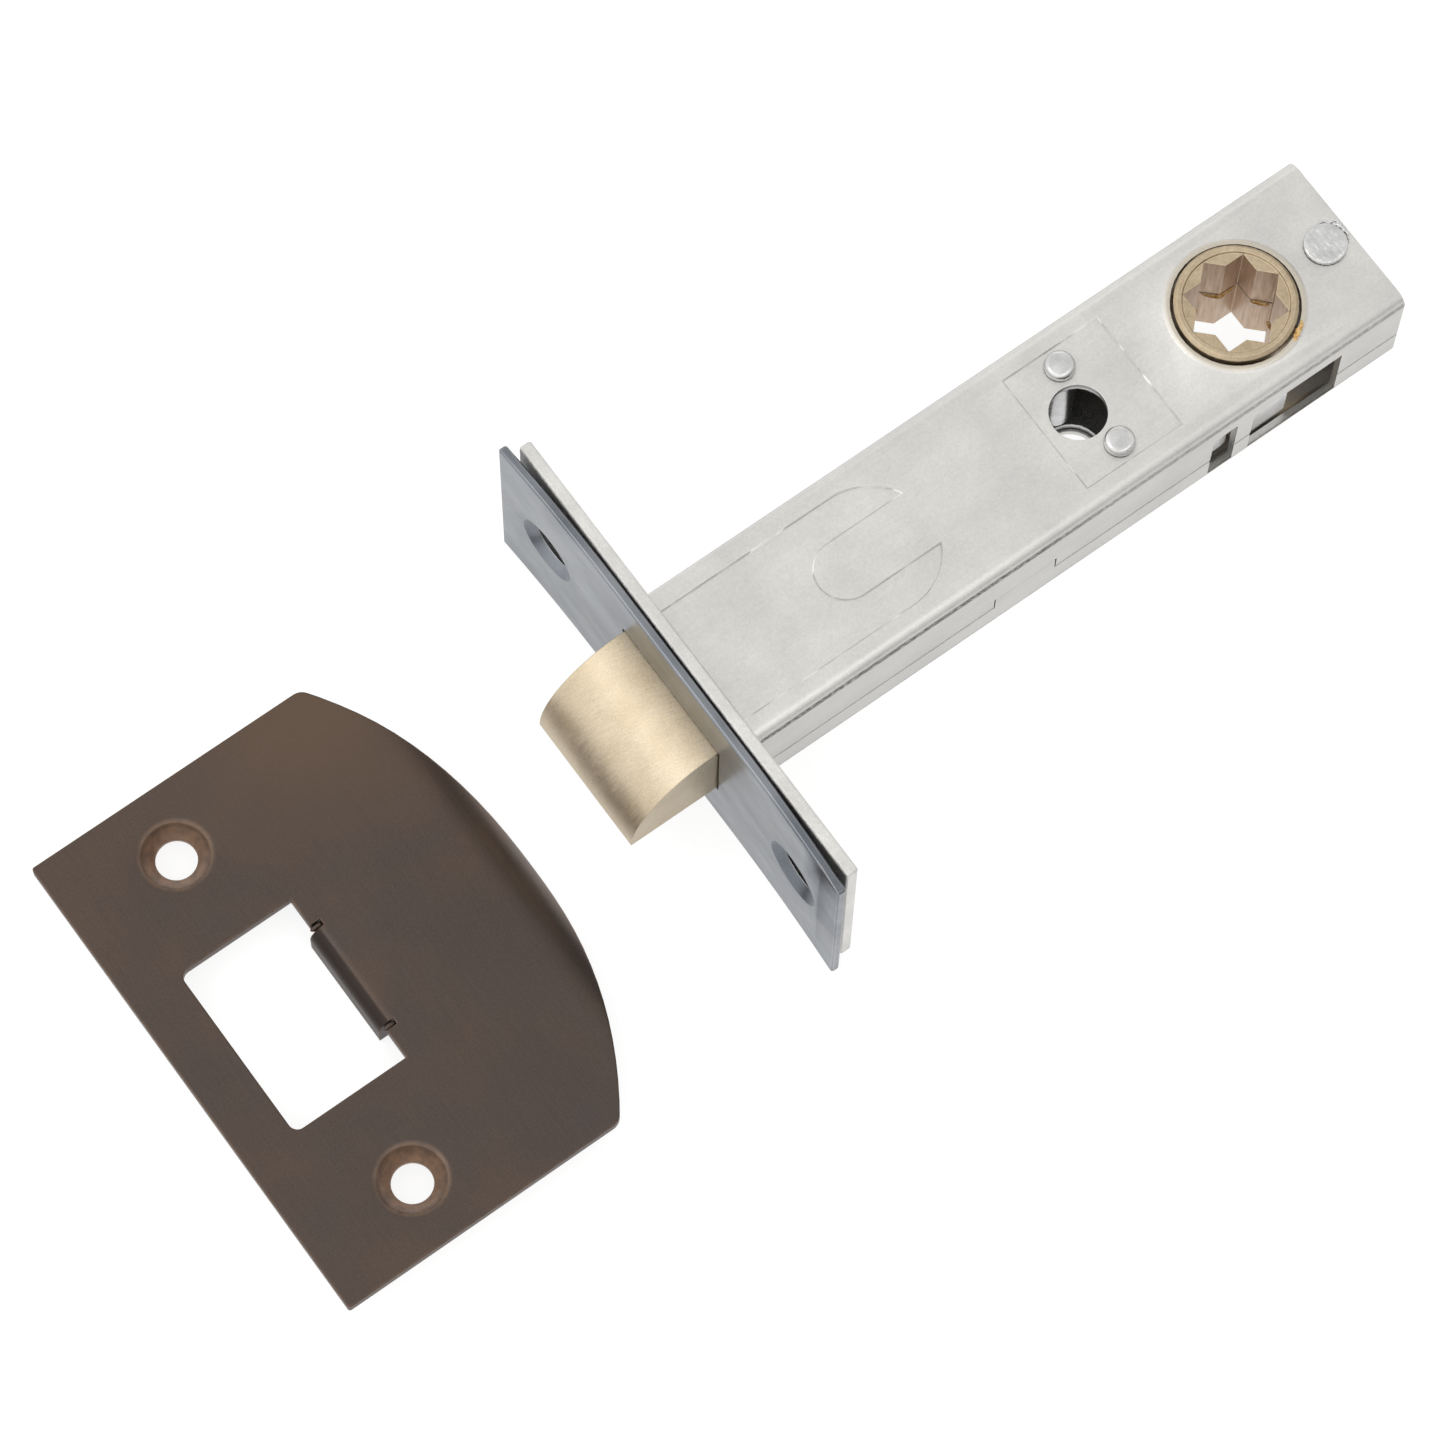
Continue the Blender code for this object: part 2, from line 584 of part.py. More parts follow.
def bowed_outline():
    """The face plate's long edge: flat behind the bolt, with both ends bowed away from the case."""
    flat, half = FACE_PLATE_FLAT_LENGTH / 2, FACE_PLATE_LENGTH / 2
    line = [(0.0, flat)]
    for step in range(1, BOW_STEPS + 1):
        share = step / BOW_STEPS
        line.append((FACE_PLATE_BOW * share * share, flat + (half - flat) * share))
    line = [(bow, -y) for bow, y in reversed(line)] + line
    return ([(FACE_BACK_X - bow, y) for bow, y in line]
            + [(FACE_FRONT_X - bow, y) for bow, y in reversed(line)])


def make_forend():
    holes = [screw_hole("screw_hole_a", SCREW_SPACING / 2),
             screw_hole("screw_hole_b", -SCREW_SPACING / 2)]
    half_y = BOLT_WIDTH / 2 + FIT_GAP
    half_z = BOLT_THICKNESS / 2 + FIT_GAP
    aperture = box("bolt_aperture", (FACE_FRONT_X - CUT_MARGIN, -half_y, -half_z),
                   (CUT_MARGIN, half_y, half_z))
    stake_half = STAKE_WIDTH / 2 + FIT_GAP
    slots = [across(name, (-FOREND_THICKNESS - CUT_MARGIN, CUT_MARGIN),
                    (middle - stake_half, middle + stake_half), HALF_CASE_WIDTH + FIT_GAP)
             for name, middle in (("upper_stake_slots", UPPER_STAKE_Z),
                                  ("lower_stake_slots", LOWER_STAKE_Z))]
    half_width = FOREND_WIDTH / 2

    rear = box("forend_plate", (-FOREND_THICKNESS, -FOREND_LENGTH / 2, -half_width),
               (0.0, FOREND_LENGTH / 2, half_width))
    round_edges(rear, PLATE_EDGE_ROUND)
    cut(rear, aperture, *slots, *holes)
    finish_part(smooth(rear), ZINC)

    face = flat_solid("face_plate", bowed_outline(), -half_width, half_width)
    round_edges(face, PLATE_EDGE_ROUND)
    cut(face, aperture, *holes)
    finish_part(smooth(face), SATIN)


# --- bolt ---------------------------------------------------------------------------------
def make_bolt():
    """The bolt: a bar whose nose is a quarter round, flat below and curved above."""
    half = BOLT_THICKNESS / 2
    nose = []
    for step in range(NOSE_STEPS + 1):
        angle = math.pi / 2 * step / NOSE_STEPS
        nose.append((BOLT_TIP_X + BOLT_THICKNESS * (1 - math.cos(angle)),
                     -half + BOLT_THICKNESS * math.sin(angle)))
    outline = nose + [(BOLT_REAR, half), (BOLT_REAR, -half)]
    bolt = flat_solid("latch_bolt", outline, -BOLT_WIDTH / 2, BOLT_WIDTH / 2, plane="XZ")
    round_edges(bolt, BOLT_EDGE_ROUND)
    pin_x = BOLT_REAR - TAIL_PIN_INSET
    cut(bolt,
        cylinder("tail_socket", TAIL_HOLE_RADIUS, BOLT_REAR - TAIL_SOCKET_DEPTH,
                 BOLT_REAR + CUT_MARGIN, axis="X"),
        cylinder("bolt_pin_hole", TAIL_PIN_RADIUS + FIT_GAP, -half - CUT_MARGIN,
                 half + CUT_MARGIN, centre=(pin_x, 0.0)))
    finish_part(smooth(bolt), BRASS)

    tail_front = BOLT_REAR - TAIL_SOCKET_DEPTH + FIT_GAP
    head_rear = TAIL_HEAD_X + TAIL_HEAD_THICKNESS
    tail = turned("bolt_tail", [(0.0, head_rear), (TAIL_HEAD_RADIUS, head_rear),
                                (TAIL_HEAD_RADIUS, TAIL_HEAD_X), (TAIL_RADIUS, TAIL_HEAD_X),
                                (TAIL_RADIUS, tail_front), (0.0, tail_front)], along_x=True)
    cut(tail, cylinder("tail_cross_hole", TAIL_PIN_RADIUS + FIT_GAP, -half, half,
                       centre=(pin_x, 0.0)))
    finish_part(smooth(tail), STEEL)

    pin = cylinder("tail_pin", TAIL_PIN_RADIUS, -half + FIT_GAP, half - FIT_GAP, centre=(pin_x, 0.0))
    finish_part(smooth(pin), STEEL)

    washer_rear = WASHER_X + WASHER_THICKNESS
    washer = turned("tail_washer", [(TAIL_HEAD_RADIUS, washer_rear), (TAIL_HEAD_RADIUS, WASHER_X),
                                    (TAIL_HOLE_RADIUS, WASHER_X), (TAIL_HOLE_RADIUS, washer_rear)],
                    along_x=True, closed=True)
    finish_part(smooth(washer), STEEL)


# --- draw frame and springs ---------------------------------------------------------------
def make_draw_frame():
    """Crossbar, two rails and two hooks, as one bent stamping."""
    bar = box("draw_frame", (BAR_X, -RAIL_INNER_Y - FRAME_SHEET / 2, RAIL_LOW - EMBED),
              (BAR_REAR_X, RAIL_INNER_Y + FRAME_SHEET / 2, RAIL_TOP - EMBED))
    hook_front = HOOK_X + HOOK_STEP
    outline = fillet([(BAR_X - EMBED, RAIL_LOW, 0), (RAIL_END_X, RAIL_LOW, HOOK_FLANGE),
                      (RAIL_END_X, WINDOW_TOP, 0), (hook_front, WINDOW_TOP, 0),
                      (hook_front, HOOK_LOW, 0), (HOOK_X + HOOK_LENGTH, HOOK_LOW, HOOK_FLANGE),
                      (HOOK_X + HOOK_LENGTH, RAIL_TOP, HOOK_FLANGE), (BAR_X - EMBED, RAIL_TOP, 0)])
    for name, side in (("left", 1), ("right", -1)):
        low, high = sorted((side * RAIL_INNER_Y, side * RAIL_OUTER_Y))
        rail = flat_solid(f"{name}_rail", outline, low, high, plane="XZ")
        low, high = sorted((side * (RAIL_INNER_Y - HOOK_FLANGE_INSET),
                            side * (RAIL_INNER_Y + FRAME_SHEET / 2)))
        flange = box(f"{name}_hook_flange", (HOOK_X, low, HOOK_LOW + EMBED),
                     (HOOK_X + HOOK_FLANGE, high, RAIL_TOP - EMBED))
        join(bar, rail, flange)
    cut(bar, cylinder("bar_tail_hole", TAIL_HOLE_RADIUS, BAR_X - CUT_MARGIN,
                      BAR_REAR_X + CUT_MARGIN, axis="X"))
    finish_part(smooth(bar), STEEL)


def make_springs():
    bolt_spring_radius = TAIL_RADIUS + RUNNING_GAP + BOLT_SPRING_WIRE
    spring = coil("bolt_spring", bolt_spring_radius, BOLT_SPRING_WIRE, BOLT_REAR + FIT_GAP,
                  BOLT_SPRING_LENGTH, BOLT_SPRING_TURNS)
    finish_part(spring, SPRING)
    for name, side in (("left", 1), ("right", -1)):
        spring = coil(f"return_spring_{name}", RETURN_SPRING_RADIUS, RETURN_SPRING_WIRE,
                      BAR_REAR_X + FIT_GAP, RETURN_SPRING_LENGTH, RETURN_SPRING_TURNS,
                      centre=(side * RETURN_SPRING_OFFSET, 0.0))
        finish_part(spring, SPRING)


def make_bracket():
    """A channel open to the rear: its front wall stops the return springs."""
    front = BRACKET_FRONT
    rear = BRACKET_FRONT + BRACKET_LENGTH
    outer = INNER_Z - FIT_GAP
    inner = outer - BRACKET_SHEET
    wall = front + BRACKET_SHEET
    outline = fillet([(front, -outer, BRACKET_SHEET), (rear, -outer, 0), (rear, outer, 0),
                      (front, outer, BRACKET_SHEET)])
    bracket = flat_solid("anchor_bracket", outline, -BRACKET_HALF_WIDTH, BRACKET_HALF_WIDTH,
                         plane="XZ")
    cut(bracket, across("bracket_channel", (wall, rear + CUT_MARGIN), (-inner, inner)))
    cut(bracket, cylinder("bracket_tail_hole", TAIL_HEAD_RADIUS + RUNNING_GAP,
                          front - CUT_MARGIN, wall + CUT_MARGIN, axis="X"))
    cut(bracket, cylinder("bracket_through_hole", THROUGH_HOLE_RADIUS + FIT_GAP,
                          -HALF_CASE_THICKNESS, HALF_CASE_THICKNESS, centre=(THROUGH_HOLE_X, 0.0)))
    for name, side in (("a", 1), ("b", -1)):
        cut(bracket, cylinder(f"bracket_rivet_hole_{name}", GUIDE_RIVET_RADIUS + FIT_GAP,
                              -HALF_CASE_THICKNESS, HALF_CASE_THICKNESS,
                              centre=(GUIDE_RIVET_X, side * GUIDE_RIVET_OFFSET)))
    finish_part(smooth(bracket), STEEL)

    bore = GUIDE_RIVET_RADIUS + FIT_GAP
    sleeve_half = inner - FIT_GAP
    for name, side in (("left", 1), ("right", -1)):
        sleeve = turned(f"guide_sleeve_{name}",
                        [(bore + SLEEVE_WALL, sleeve_half), (bore + SLEEVE_WALL, -sleeve_half),
                         (bore, -sleeve_half), (bore, sleeve_half)],
                        location=(GUIDE_RIVET_X, side * GUIDE_RIVET_OFFSET, 0.0), closed=True)
        finish_part(smooth(sleeve), STEEL)


# --- rivets -------------------------------------------------------------------------------
def rivet_head(shank_radius, head_radius, top, under, round_over):
    """The head's outer side from its crown down to the shank, with a rounded edge."""
    head = [(0.0, top)]
    for step in range(END_STEPS + 2):
        turn = math.pi / 2 * step / (END_STEPS + 1)
        head.append((head_radius - round_over * (1 - math.sin(turn)),
                     top - round_over * (1 - math.cos(turn))))
    return head + [(head_radius, under), (shank_radius, under)]


def rivet(name, x, y, shank_radius, head_radius, head_height, round_over, panel_depth=0.0):
    """A rivet through both shells. The upper head lies in a pressed panel of that depth."""
    top = HALF_CASE_THICKNESS + head_height
    under = HALF_CASE_THICKNESS + HEAD_GAP
    upper = rivet_head(shank_radius, head_radius, top, under - panel_depth, round_over)
    lower = rivet_head(shank_radius, head_radius, top, under, round_over)
    mirrored = [(radius, -height) for radius, height in reversed(lower)]
    return smooth(turned(name, upper + mirrored, location=(x, y, 0.0)))


def make_rivets():
    for name, side in (("left", 1), ("right", -1)):
        guide = rivet(f"guide_rivet_{name}", GUIDE_RIVET_X, side * GUIDE_RIVET_OFFSET,
                      GUIDE_RIVET_RADIUS, GUIDE_HEAD_RADIUS, GUIDE_HEAD_HEIGHT,
                      round_over=GUIDE_HEAD_ROUND, panel_depth=PANEL_DEPTH)
        finish_part(guide, STEEL)
    rear = rivet("rear_rivet", REAR_RIVET_X, 0.0, REAR_RIVET_RADIUS, REAR_HEAD_RADIUS,
                 REAR_HEAD_HEIGHT, round_over=REAR_HEAD_ROUND)
    finish_part(rear, STEEL)
    bore = REAR_RIVET_RADIUS + FIT_GAP
    half = INNER_Z - FIT_GAP
    spacer = turned("rear_spacer", [(bore + SLEEVE_WALL, half), (bore + SLEEVE_WALL, -half),
                                    (bore, -half), (bore, half)],
                    location=(REAR_RIVET_X, 0.0, 0.0), closed=True)
    finish_part(smooth(spacer), STEEL)


# --- follower -----------------------------------------------------------------------------
def lobe(name, side, z_range):
    """A lobe with a round tip. The flank that faces the hook is straight, the other is tapered."""
    root = FOLLOWER_RADIUS - LOBE_EMBED
    taper = math.asin((LOBE_ROOT_WIDTH - LOBE_TIP_RADIUS) / (LOBE_PITCH_RADIUS - root))
    outline = [(root, -side * LOBE_TIP_RADIUS)]
    for step in range(TIP_STEPS + 1):
        turn = -math.pi / 2 + step * (math.pi - taper) / TIP_STEPS
        outline.append((LOBE_PITCH_RADIUS + LOBE_TIP_RADIUS * math.cos(turn),
                        side * LOBE_TIP_RADIUS * math.sin(turn)))
    outline.append((root, side * LOBE_ROOT_WIDTH))
    solid = flat_solid(name, outline, *z_range)
    solid.matrix_world = (Matrix.Translation((FOLLOWER_X, 0.0, 0.0))
                          @ Matrix.Rotation(side * LOBE_ANGLE, 4, "Z") @ solid.matrix_world)
    return solid


def star_bore():
    """Two square cutters turned by an eighth of a turn, which make the eight-pointed bore."""
    half = SPINDLE_SQUARE / 2
    reach = HALF_CASE_THICKNESS + FOLLOWER_PROTRUSION + CUT_MARGIN
    squares = []
    for name, turn in (("square_bore", 0.0), ("turned_square_bore", math.pi / 4)):
        square = box(name, (-half, -half, -reach), (half, half, reach))
        square.location = (FOLLOWER_X, 0.0, 0.0)
        square.rotation_euler = (0.0, 0.0, turn)
        squares.append(square)
    return squares


def make_follower():
    squares = star_bore()
    split = FIT_GAP / 2
    outer = HALF_CASE_THICKNESS + FOLLOWER_PROTRUSION
    for name, side, lobe_z in (("upper", 1, UPPER_LOBE_Z), ("lower", -1, LOWER_LOBE_Z)):
        profile = [(0.0, outer - FOLLOWER_RECESS_DEPTH),
                   (FOLLOWER_RECESS_RADIUS - FOLLOWER_RECESS_SLOPE, outer - FOLLOWER_RECESS_DEPTH),
                   (FOLLOWER_RECESS_RADIUS, outer), (FOLLOWER_RADIUS - FOLLOWER_CHAMFER, outer),
                   (FOLLOWER_RADIUS, outer - FOLLOWER_CHAMFER), (FOLLOWER_RADIUS, split),
                   (0.0, split)]
        body = turned(f"follower_{name}", profile, location=(FOLLOWER_X, 0.0, 0.0),
                      sides=ROUND_SIDES)
        if side < 0:
            body.rotation_euler = (math.pi, 0.0, 0.0)
        join(body, lobe(f"{name}_lobe_left", 1, lobe_z), lobe(f"{name}_lobe_right", -1, lobe_z))
        cut(body, *squares)
        finish_part(smooth(body, STAR_SHARP_EDGE), BRASS)


# --- strike plate -------------------------------------------------------------------------
def strike_unrolled(distance):
    """Distance from the straight edge before the lip is bent, for a distance after bending."""
    past = distance - STRIKE_BEND_START
    if past <= 0:
        return distance
    return STRIKE_BEND_START + STRIKE_BEND_RADIUS * math.asin(past / STRIKE_BEND_RADIUS)


def strike_outline():
    """The blank: three straight sides and a round lip, with the lip still flat."""
    half = STRIKE_LENGTH / 2
    rise = STRIKE_LIP_RISE
    overall = STRIKE_FLAT_WIDTH + rise
    radius = (half * half + rise * rise) / (2 * rise)
    end_angle = math.asin(half / radius)
    lip = []
    for step in range(-LIP_STEPS + 1, LIP_STEPS):
        angle = end_angle * step / LIP_STEPS
        reach = overall - radius * (1 - math.cos(angle))
        lip.append((strike_unrolled(reach), radius * math.sin(angle), 0))
    corners = [(0.0, half, STRIKE_BACK_CORNER), (0.0, -half, STRIKE_BACK_CORNER),
               (STRIKE_FLAT_WIDTH, -half, STRIKE_LIP_CORNER), *lip,
               (STRIKE_FLAT_WIDTH, half, STRIKE_LIP_CORNER)]
    return fillet(corners), sorted({point[0] for point in lip if point[0] > STRIKE_BEND_START})


def bend_lip(obj, bend_lines):
    """Roll the lip down round a cylinder under the plate. Local Z is 0 on the plate's face."""
    work = bmesh.new()
    work.from_mesh(obj.data)
    for line in [STRIKE_BEND_START, *bend_lines]:
        bmesh.ops.bisect_plane(work, geom=[*work.verts, *work.edges, *work.faces],
                               plane_co=(line, 0.0, 0.0), plane_no=(1.0, 0.0, 0.0), dist=MERGE)
    bmesh.ops.remove_doubles(work, verts=work.verts, dist=MERGE)
    bmesh.ops.triangulate(work, faces=[face for face in work.faces if len(face.verts) > 4])
    for vert in work.verts:
        past = vert.co.x - STRIKE_BEND_START
        if past > 0:
            angle = past / STRIKE_BEND_RADIUS
            radius = STRIKE_BEND_RADIUS + vert.co.z
            vert.co.x = STRIKE_BEND_START + radius * math.sin(angle)
            vert.co.z = radius * math.cos(angle) - STRIKE_BEND_RADIUS
    work.to_mesh(obj.data)
    work.free()


def strike_tab(place):
    """The bent tab at the lip side of the bolt hole, down to the plate's resting plane."""
    face = STRIKE_HOLE_X[1] - TAB_OVERHANG
    root = face + TAB_BEND_RADIUS
    inner = TAB_BEND_RADIUS - STRIKE_SHEET
    outline = fillet([(root, 0.0, 0), (face, 0.0, TAB_BEND_RADIUS),
                      (face, -TAB_DEPTH, 0), (face + STRIKE_SHEET, -TAB_DEPTH, 0),
                      (face + STRIKE_SHEET, -STRIKE_SHEET, inner), (root, -STRIKE_SHEET, 0)])
    tab = flat_solid("strike_tab", outline, -TAB_LENGTH / 2, TAB_LENGTH / 2, plane="XZ")
    tab.matrix_basis = place @ tab.matrix_basis
    return tab


def sink_profile(bottom):
    """The stamped screw hole: a mouth that rolls over softly, a cone and a straight bore."""
    profile = [(0.0, CUT_MARGIN), (STRIKE_HEAD_RADIUS + STRIKE_SINK_MOUTH_WIDTH, CUT_MARGIN)]
    for step in range(TIP_STEPS + 1):
        turn = math.pi / 2 * step / TIP_STEPS
        profile.append((STRIKE_HEAD_RADIUS + STRIKE_SINK_MOUTH_WIDTH * (1 - math.sin(turn)),
                        -STRIKE_SINK_MOUTH_DEPTH * (1 - math.cos(turn))))
    profile += [(STRIKE_SCREW_RADIUS, -STRIKE_SINK_DEPTH), (STRIKE_SCREW_RADIUS, bottom), (0.0, bottom)]
    return profile


def make_strike():
    outline, bend_lines = strike_outline()
    plate = flat_solid("strike_plate", outline, -STRIKE_SHEET, 0.0)
    plate.data.transform(plate.matrix_world)
    bend_lip(plate, bend_lines)
    lowest = min(vert.co.z for vert in plate.data.vertices)
    place = Matrix.Translation((STRIKE_BACK_X, STRIKE_CENTRE_Y, STRIKE_BOTTOM_Z - lowest))
    plate.matrix_world = place

    half = STRIKE_HOLE_LENGTH / 2
    near, far = STRIKE_HOLE_X
    hole = fillet([(near, -half, STRIKE_HOLE_CORNER), (far, -half, 0), (far, half, 0),
                   (near, half, STRIKE_HOLE_CORNER)])
    cutters = [flat_solid("strike_bolt_hole", hole, -STRIKE_SHEET - CUT_MARGIN, CUT_MARGIN)]
    notch_start = TAB_LENGTH / 2
    for name, side in (("a", 1), ("b", -1)):
        low, high = sorted((side * notch_start, side * (notch_start + TAB_NOTCH_WIDTH)))
        cutters.append(box(f"tab_notch_{name}", (far - CUT_MARGIN, low, -STRIKE_SHEET - CUT_MARGIN),
                           (far + TAB_NOTCH_DEPTH, high, CUT_MARGIN)))
    slot = box("tab_root", (far - CUT_MARGIN, -notch_start, -STRIKE_SHEET - CUT_MARGIN),
               (far - TAB_OVERHANG + TAB_BEND_RADIUS, notch_start, CUT_MARGIN))
    cutters.append(slot)
    dimple_bottom = -STRIKE_SHEET - STRIKE_DIMPLE_DEPTH
    dimples = []
    for name, side in (("a", 1), ("b", -1)):
        centre = (STRIKE_SCREW_INSET, side * STRIKE_SCREW_SPACING / 2)
        dimples.append(cylinder(f"strike_dimple_{name}",
                                STRIKE_SCREW_RADIUS + STRIKE_SHEET, dimple_bottom,
                                -STRIKE_SHEET / 2, centre=centre, sides=ROUND_SIDES,
                                end_radius=STRIKE_HEAD_RADIUS + STRIKE_SHEET / 2))
        cutters.append(turned(f"strike_sink_{name}", sink_profile(dimple_bottom - CUT_MARGIN),
                              location=(*centre, 0.0), sides=ROUND_SIDES))
    for piece in [*cutters, *dimples]:
        piece.matrix_basis = place @ piece.matrix_basis
    join(plate, *dimples)
    cut(plate, *cutters)
    join(plate, strike_tab(place))
    finish_part(smooth(plate, STRIKE_SHARP_EDGE), BRONZE)


clear_scene()
PARTS = make_collection("tubular_latch")
CUTTERS = make_collection("cutters")
ZINC = make_material("zinc_plated_steel", (0.62, 0.61, 0.59), 0.42, 1.0)
SATIN = make_material("satin_chrome", (0.32, 0.35, 0.39), 0.28, 1.0)
BRASS = make_material("brushed_pale_brass", (0.66, 0.55, 0.36), 0.36, 1.0)
STEEL = make_material("bright_steel", (0.55, 0.55, 0.55), 0.35, 1.0)
SPRING = make_material("spring_steel", (0.35, 0.35, 0.36), 0.4, 1.0)
BRONZE = make_material("dark_antique_bronze", (0.085, 0.055, 0.042), 0.42, 0.9)
make_case()
make_forend()
make_bolt()
make_draw_frame()
make_springs()
make_bracket()
make_rivets()
make_follower()
make_strike()
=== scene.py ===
"""Looks for the tubular mortice latch: materials, springs, grease, scale, burrs and studio."""

import json
import math

import bmesh
import bpy
from mathutils import Matrix, Vector, noise


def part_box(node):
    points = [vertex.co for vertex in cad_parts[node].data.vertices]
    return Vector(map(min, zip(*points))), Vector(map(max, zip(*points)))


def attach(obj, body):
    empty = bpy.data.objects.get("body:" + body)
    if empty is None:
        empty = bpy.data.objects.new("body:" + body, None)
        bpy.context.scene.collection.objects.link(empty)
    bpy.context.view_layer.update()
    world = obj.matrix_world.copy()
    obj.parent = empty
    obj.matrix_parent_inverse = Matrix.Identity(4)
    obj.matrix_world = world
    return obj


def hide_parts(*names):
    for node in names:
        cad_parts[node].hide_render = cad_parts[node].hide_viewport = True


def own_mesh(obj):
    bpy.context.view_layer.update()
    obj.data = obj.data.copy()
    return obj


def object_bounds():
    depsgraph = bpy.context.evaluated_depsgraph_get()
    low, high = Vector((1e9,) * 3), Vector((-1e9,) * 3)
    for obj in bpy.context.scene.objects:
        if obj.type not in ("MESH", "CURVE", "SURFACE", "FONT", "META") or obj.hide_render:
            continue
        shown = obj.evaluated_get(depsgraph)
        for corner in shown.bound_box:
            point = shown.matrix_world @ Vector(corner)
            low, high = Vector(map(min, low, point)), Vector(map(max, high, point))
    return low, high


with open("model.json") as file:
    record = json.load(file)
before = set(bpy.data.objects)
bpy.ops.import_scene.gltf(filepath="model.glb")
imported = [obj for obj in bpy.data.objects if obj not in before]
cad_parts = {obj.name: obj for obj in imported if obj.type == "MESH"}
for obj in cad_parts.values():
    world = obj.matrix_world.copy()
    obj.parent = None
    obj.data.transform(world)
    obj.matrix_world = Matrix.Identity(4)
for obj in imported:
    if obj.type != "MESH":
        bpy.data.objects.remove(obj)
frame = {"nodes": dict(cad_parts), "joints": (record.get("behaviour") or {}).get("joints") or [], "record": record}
NODES = frame["nodes"]
JOINTS = {joint["name"]: joint for joint in frame["joints"]}
CAD_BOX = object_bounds()
MM = 0.001

# --- places on the object -------------------------------------------------------------------
FOLLOWER_AXIS = Vector(JOINTS["follower_turn"]["pos_m"])
BORE_FLAT = 3.825 * MM
BORE_TIP = BORE_FLAT * math.sqrt(2)
BORE_NOTCH = BORE_FLAT * math.tan(math.pi / 8)
BORE_EDGE_RADII = (5.48 * MM, 5.38 * MM)
BORE_EDGE_HEIGHTS = (7.44 * MM, 7.30 * MM)

# The case: its long pressed panel, the tongue in it, its side walls and its bends.
PANEL_HALF_WIDTH = 7.0 * MM
PANEL_CENTRE_X = 21.9 * MM
TONGUE_HALF_WIDTH = 3.25 * MM
TONGUE_CENTRE_X = 18.75 * MM
CREASE_HALF_WIDTH = 0.050 * MM
CASE_TOP_FADE = (6.3 * MM, 6.4 * MM)
# The ranges below place painted shade on the case's side walls, its front bend and the bolt's sides, and a painted
# brass reflection round the hub.
SIDE_WALL_SHADE_FADE = (9.30 * MM, 9.50 * MM)
FRONT_BEND_SHADE_FADE = (-9.22 * MM, -9.42 * MM)
FRONT_BEND_SHADE_HEIGHTS = (5.30 * MM, 5.86 * MM)
HUB_REFLECTION_RADII = (6.5 * MM, 7.0 * MM)
BOLT_SIDE_SHADE_FADE = (7.78 * MM, 7.88 * MM)

# The strike: its screws, its tab and the notches beside the tab.
STRIKE_LOW, STRIKE_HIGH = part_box("strike_plate")
STRIKE_CENTRE_Y = (STRIKE_LOW.y + STRIKE_HIGH.y) / 2
STRIKE_WARM_CORNER = Vector((STRIKE_LOW.x + 32.0 * MM, STRIKE_HIGH.y, 0.0))
STRIKE_SCREWS = [Vector((STRIKE_LOW.x + 12.5 * MM, STRIKE_CENTRE_Y + side * 20.6 * MM, 0.0))
                 for side in (1, -1)]
SINK_RADII = (4.0 * MM, 3.0 * MM)
TAB_FRONT = STRIKE_LOW.x + 18.3 * MM
TAB_REAR = STRIKE_LOW.x + 19.75 * MM
TAB_HALF_LENGTH = 6.1 * MM
TAB_NOTCH_START = STRIKE_LOW.x + 19.0 * MM
TAB_NOTCH_END = STRIKE_LOW.x + 20.6 * MM
TAB_NOTCH_OFFSET = 6.35 * MM

# --- camera, floor and light ----------------------------------------------------------------
CAMERA_TARGET = Vector((0.8, -4.1, 0.0)) * MM
CAMERA_DISTANCE = 648.4 * MM
CAMERA_AZIMUTH = math.radians(-37.56)
CAMERA_ELEVATION = math.radians(70.50)
CAMERA_ROLL = math.radians(1.81)
CAMERA_LENS = 162.55
SENSOR_WIDTH = 36.0

FLOOR_SIZE = 6.0
FLOOR_COLOUR = (0.26, 0.26, 0.26)
FLOOR_GLOW = 0.82
BACKDROP_COLOUR = (0.93, 0.93, 0.93)
SKY_TINT = (1.0, 0.995, 0.985)
FRONT_HORIZON_LIGHT = 0.18
SIDE_HORIZON_LIGHT = 0.90
HIGH_LIGHT = 0.98
LEFT_LIGHT = 1.40
# Directions on the sky between which its light changes: across it, at the front, and upwards.
ACROSS_SKY = (-0.6, 0.36)
FRONT_SKY = (-0.90, -0.35)
LOW_SKY = (0.05, 0.50)
SOFTBOX_DISTANCE = 1.1
# Each softbox: its direction from the object, its width and height in metres, its radiance.
SOFTBOXES = {
    "left_softbox": ((-0.52, 0.27, 0.80), (0.42, 0.42), 1.3),
    "front_softbox": ((0.20, -0.47, 0.84), (0.80, 0.16), 1.8),
    "rear_softbox": ((0.55, 0.75, 0.35), (0.5, 0.25), 0.8),
}


def link_object(name, data):
    obj = bpy.data.objects.new(name, data)
    bpy.context.scene.collection.objects.link(obj)
    return obj


def make_camera():
    data = bpy.data.cameras.new("camera")
    data.lens = CAMERA_LENS
    data.sensor_width = SENSOR_WIDTH
    data.clip_start = 0.01
    data.clip_end = 20.0
    camera = link_object("camera", data)
    level = math.cos(CAMERA_ELEVATION)
    back = Vector((math.sin(CAMERA_AZIMUTH) * level, -math.cos(CAMERA_AZIMUTH) * level,
                   math.sin(CAMERA_ELEVATION)))
    camera.location = CAMERA_TARGET + back * CAMERA_DISTANCE
    camera.rotation_mode = "QUATERNION"
    aim = (-back).to_track_quat("-Z", "Y").to_matrix()
    camera.rotation_quaternion = (aim @ Matrix.Rotation(CAMERA_ROLL, 3, "Z")).to_quaternion()
    bpy.context.scene.camera = camera


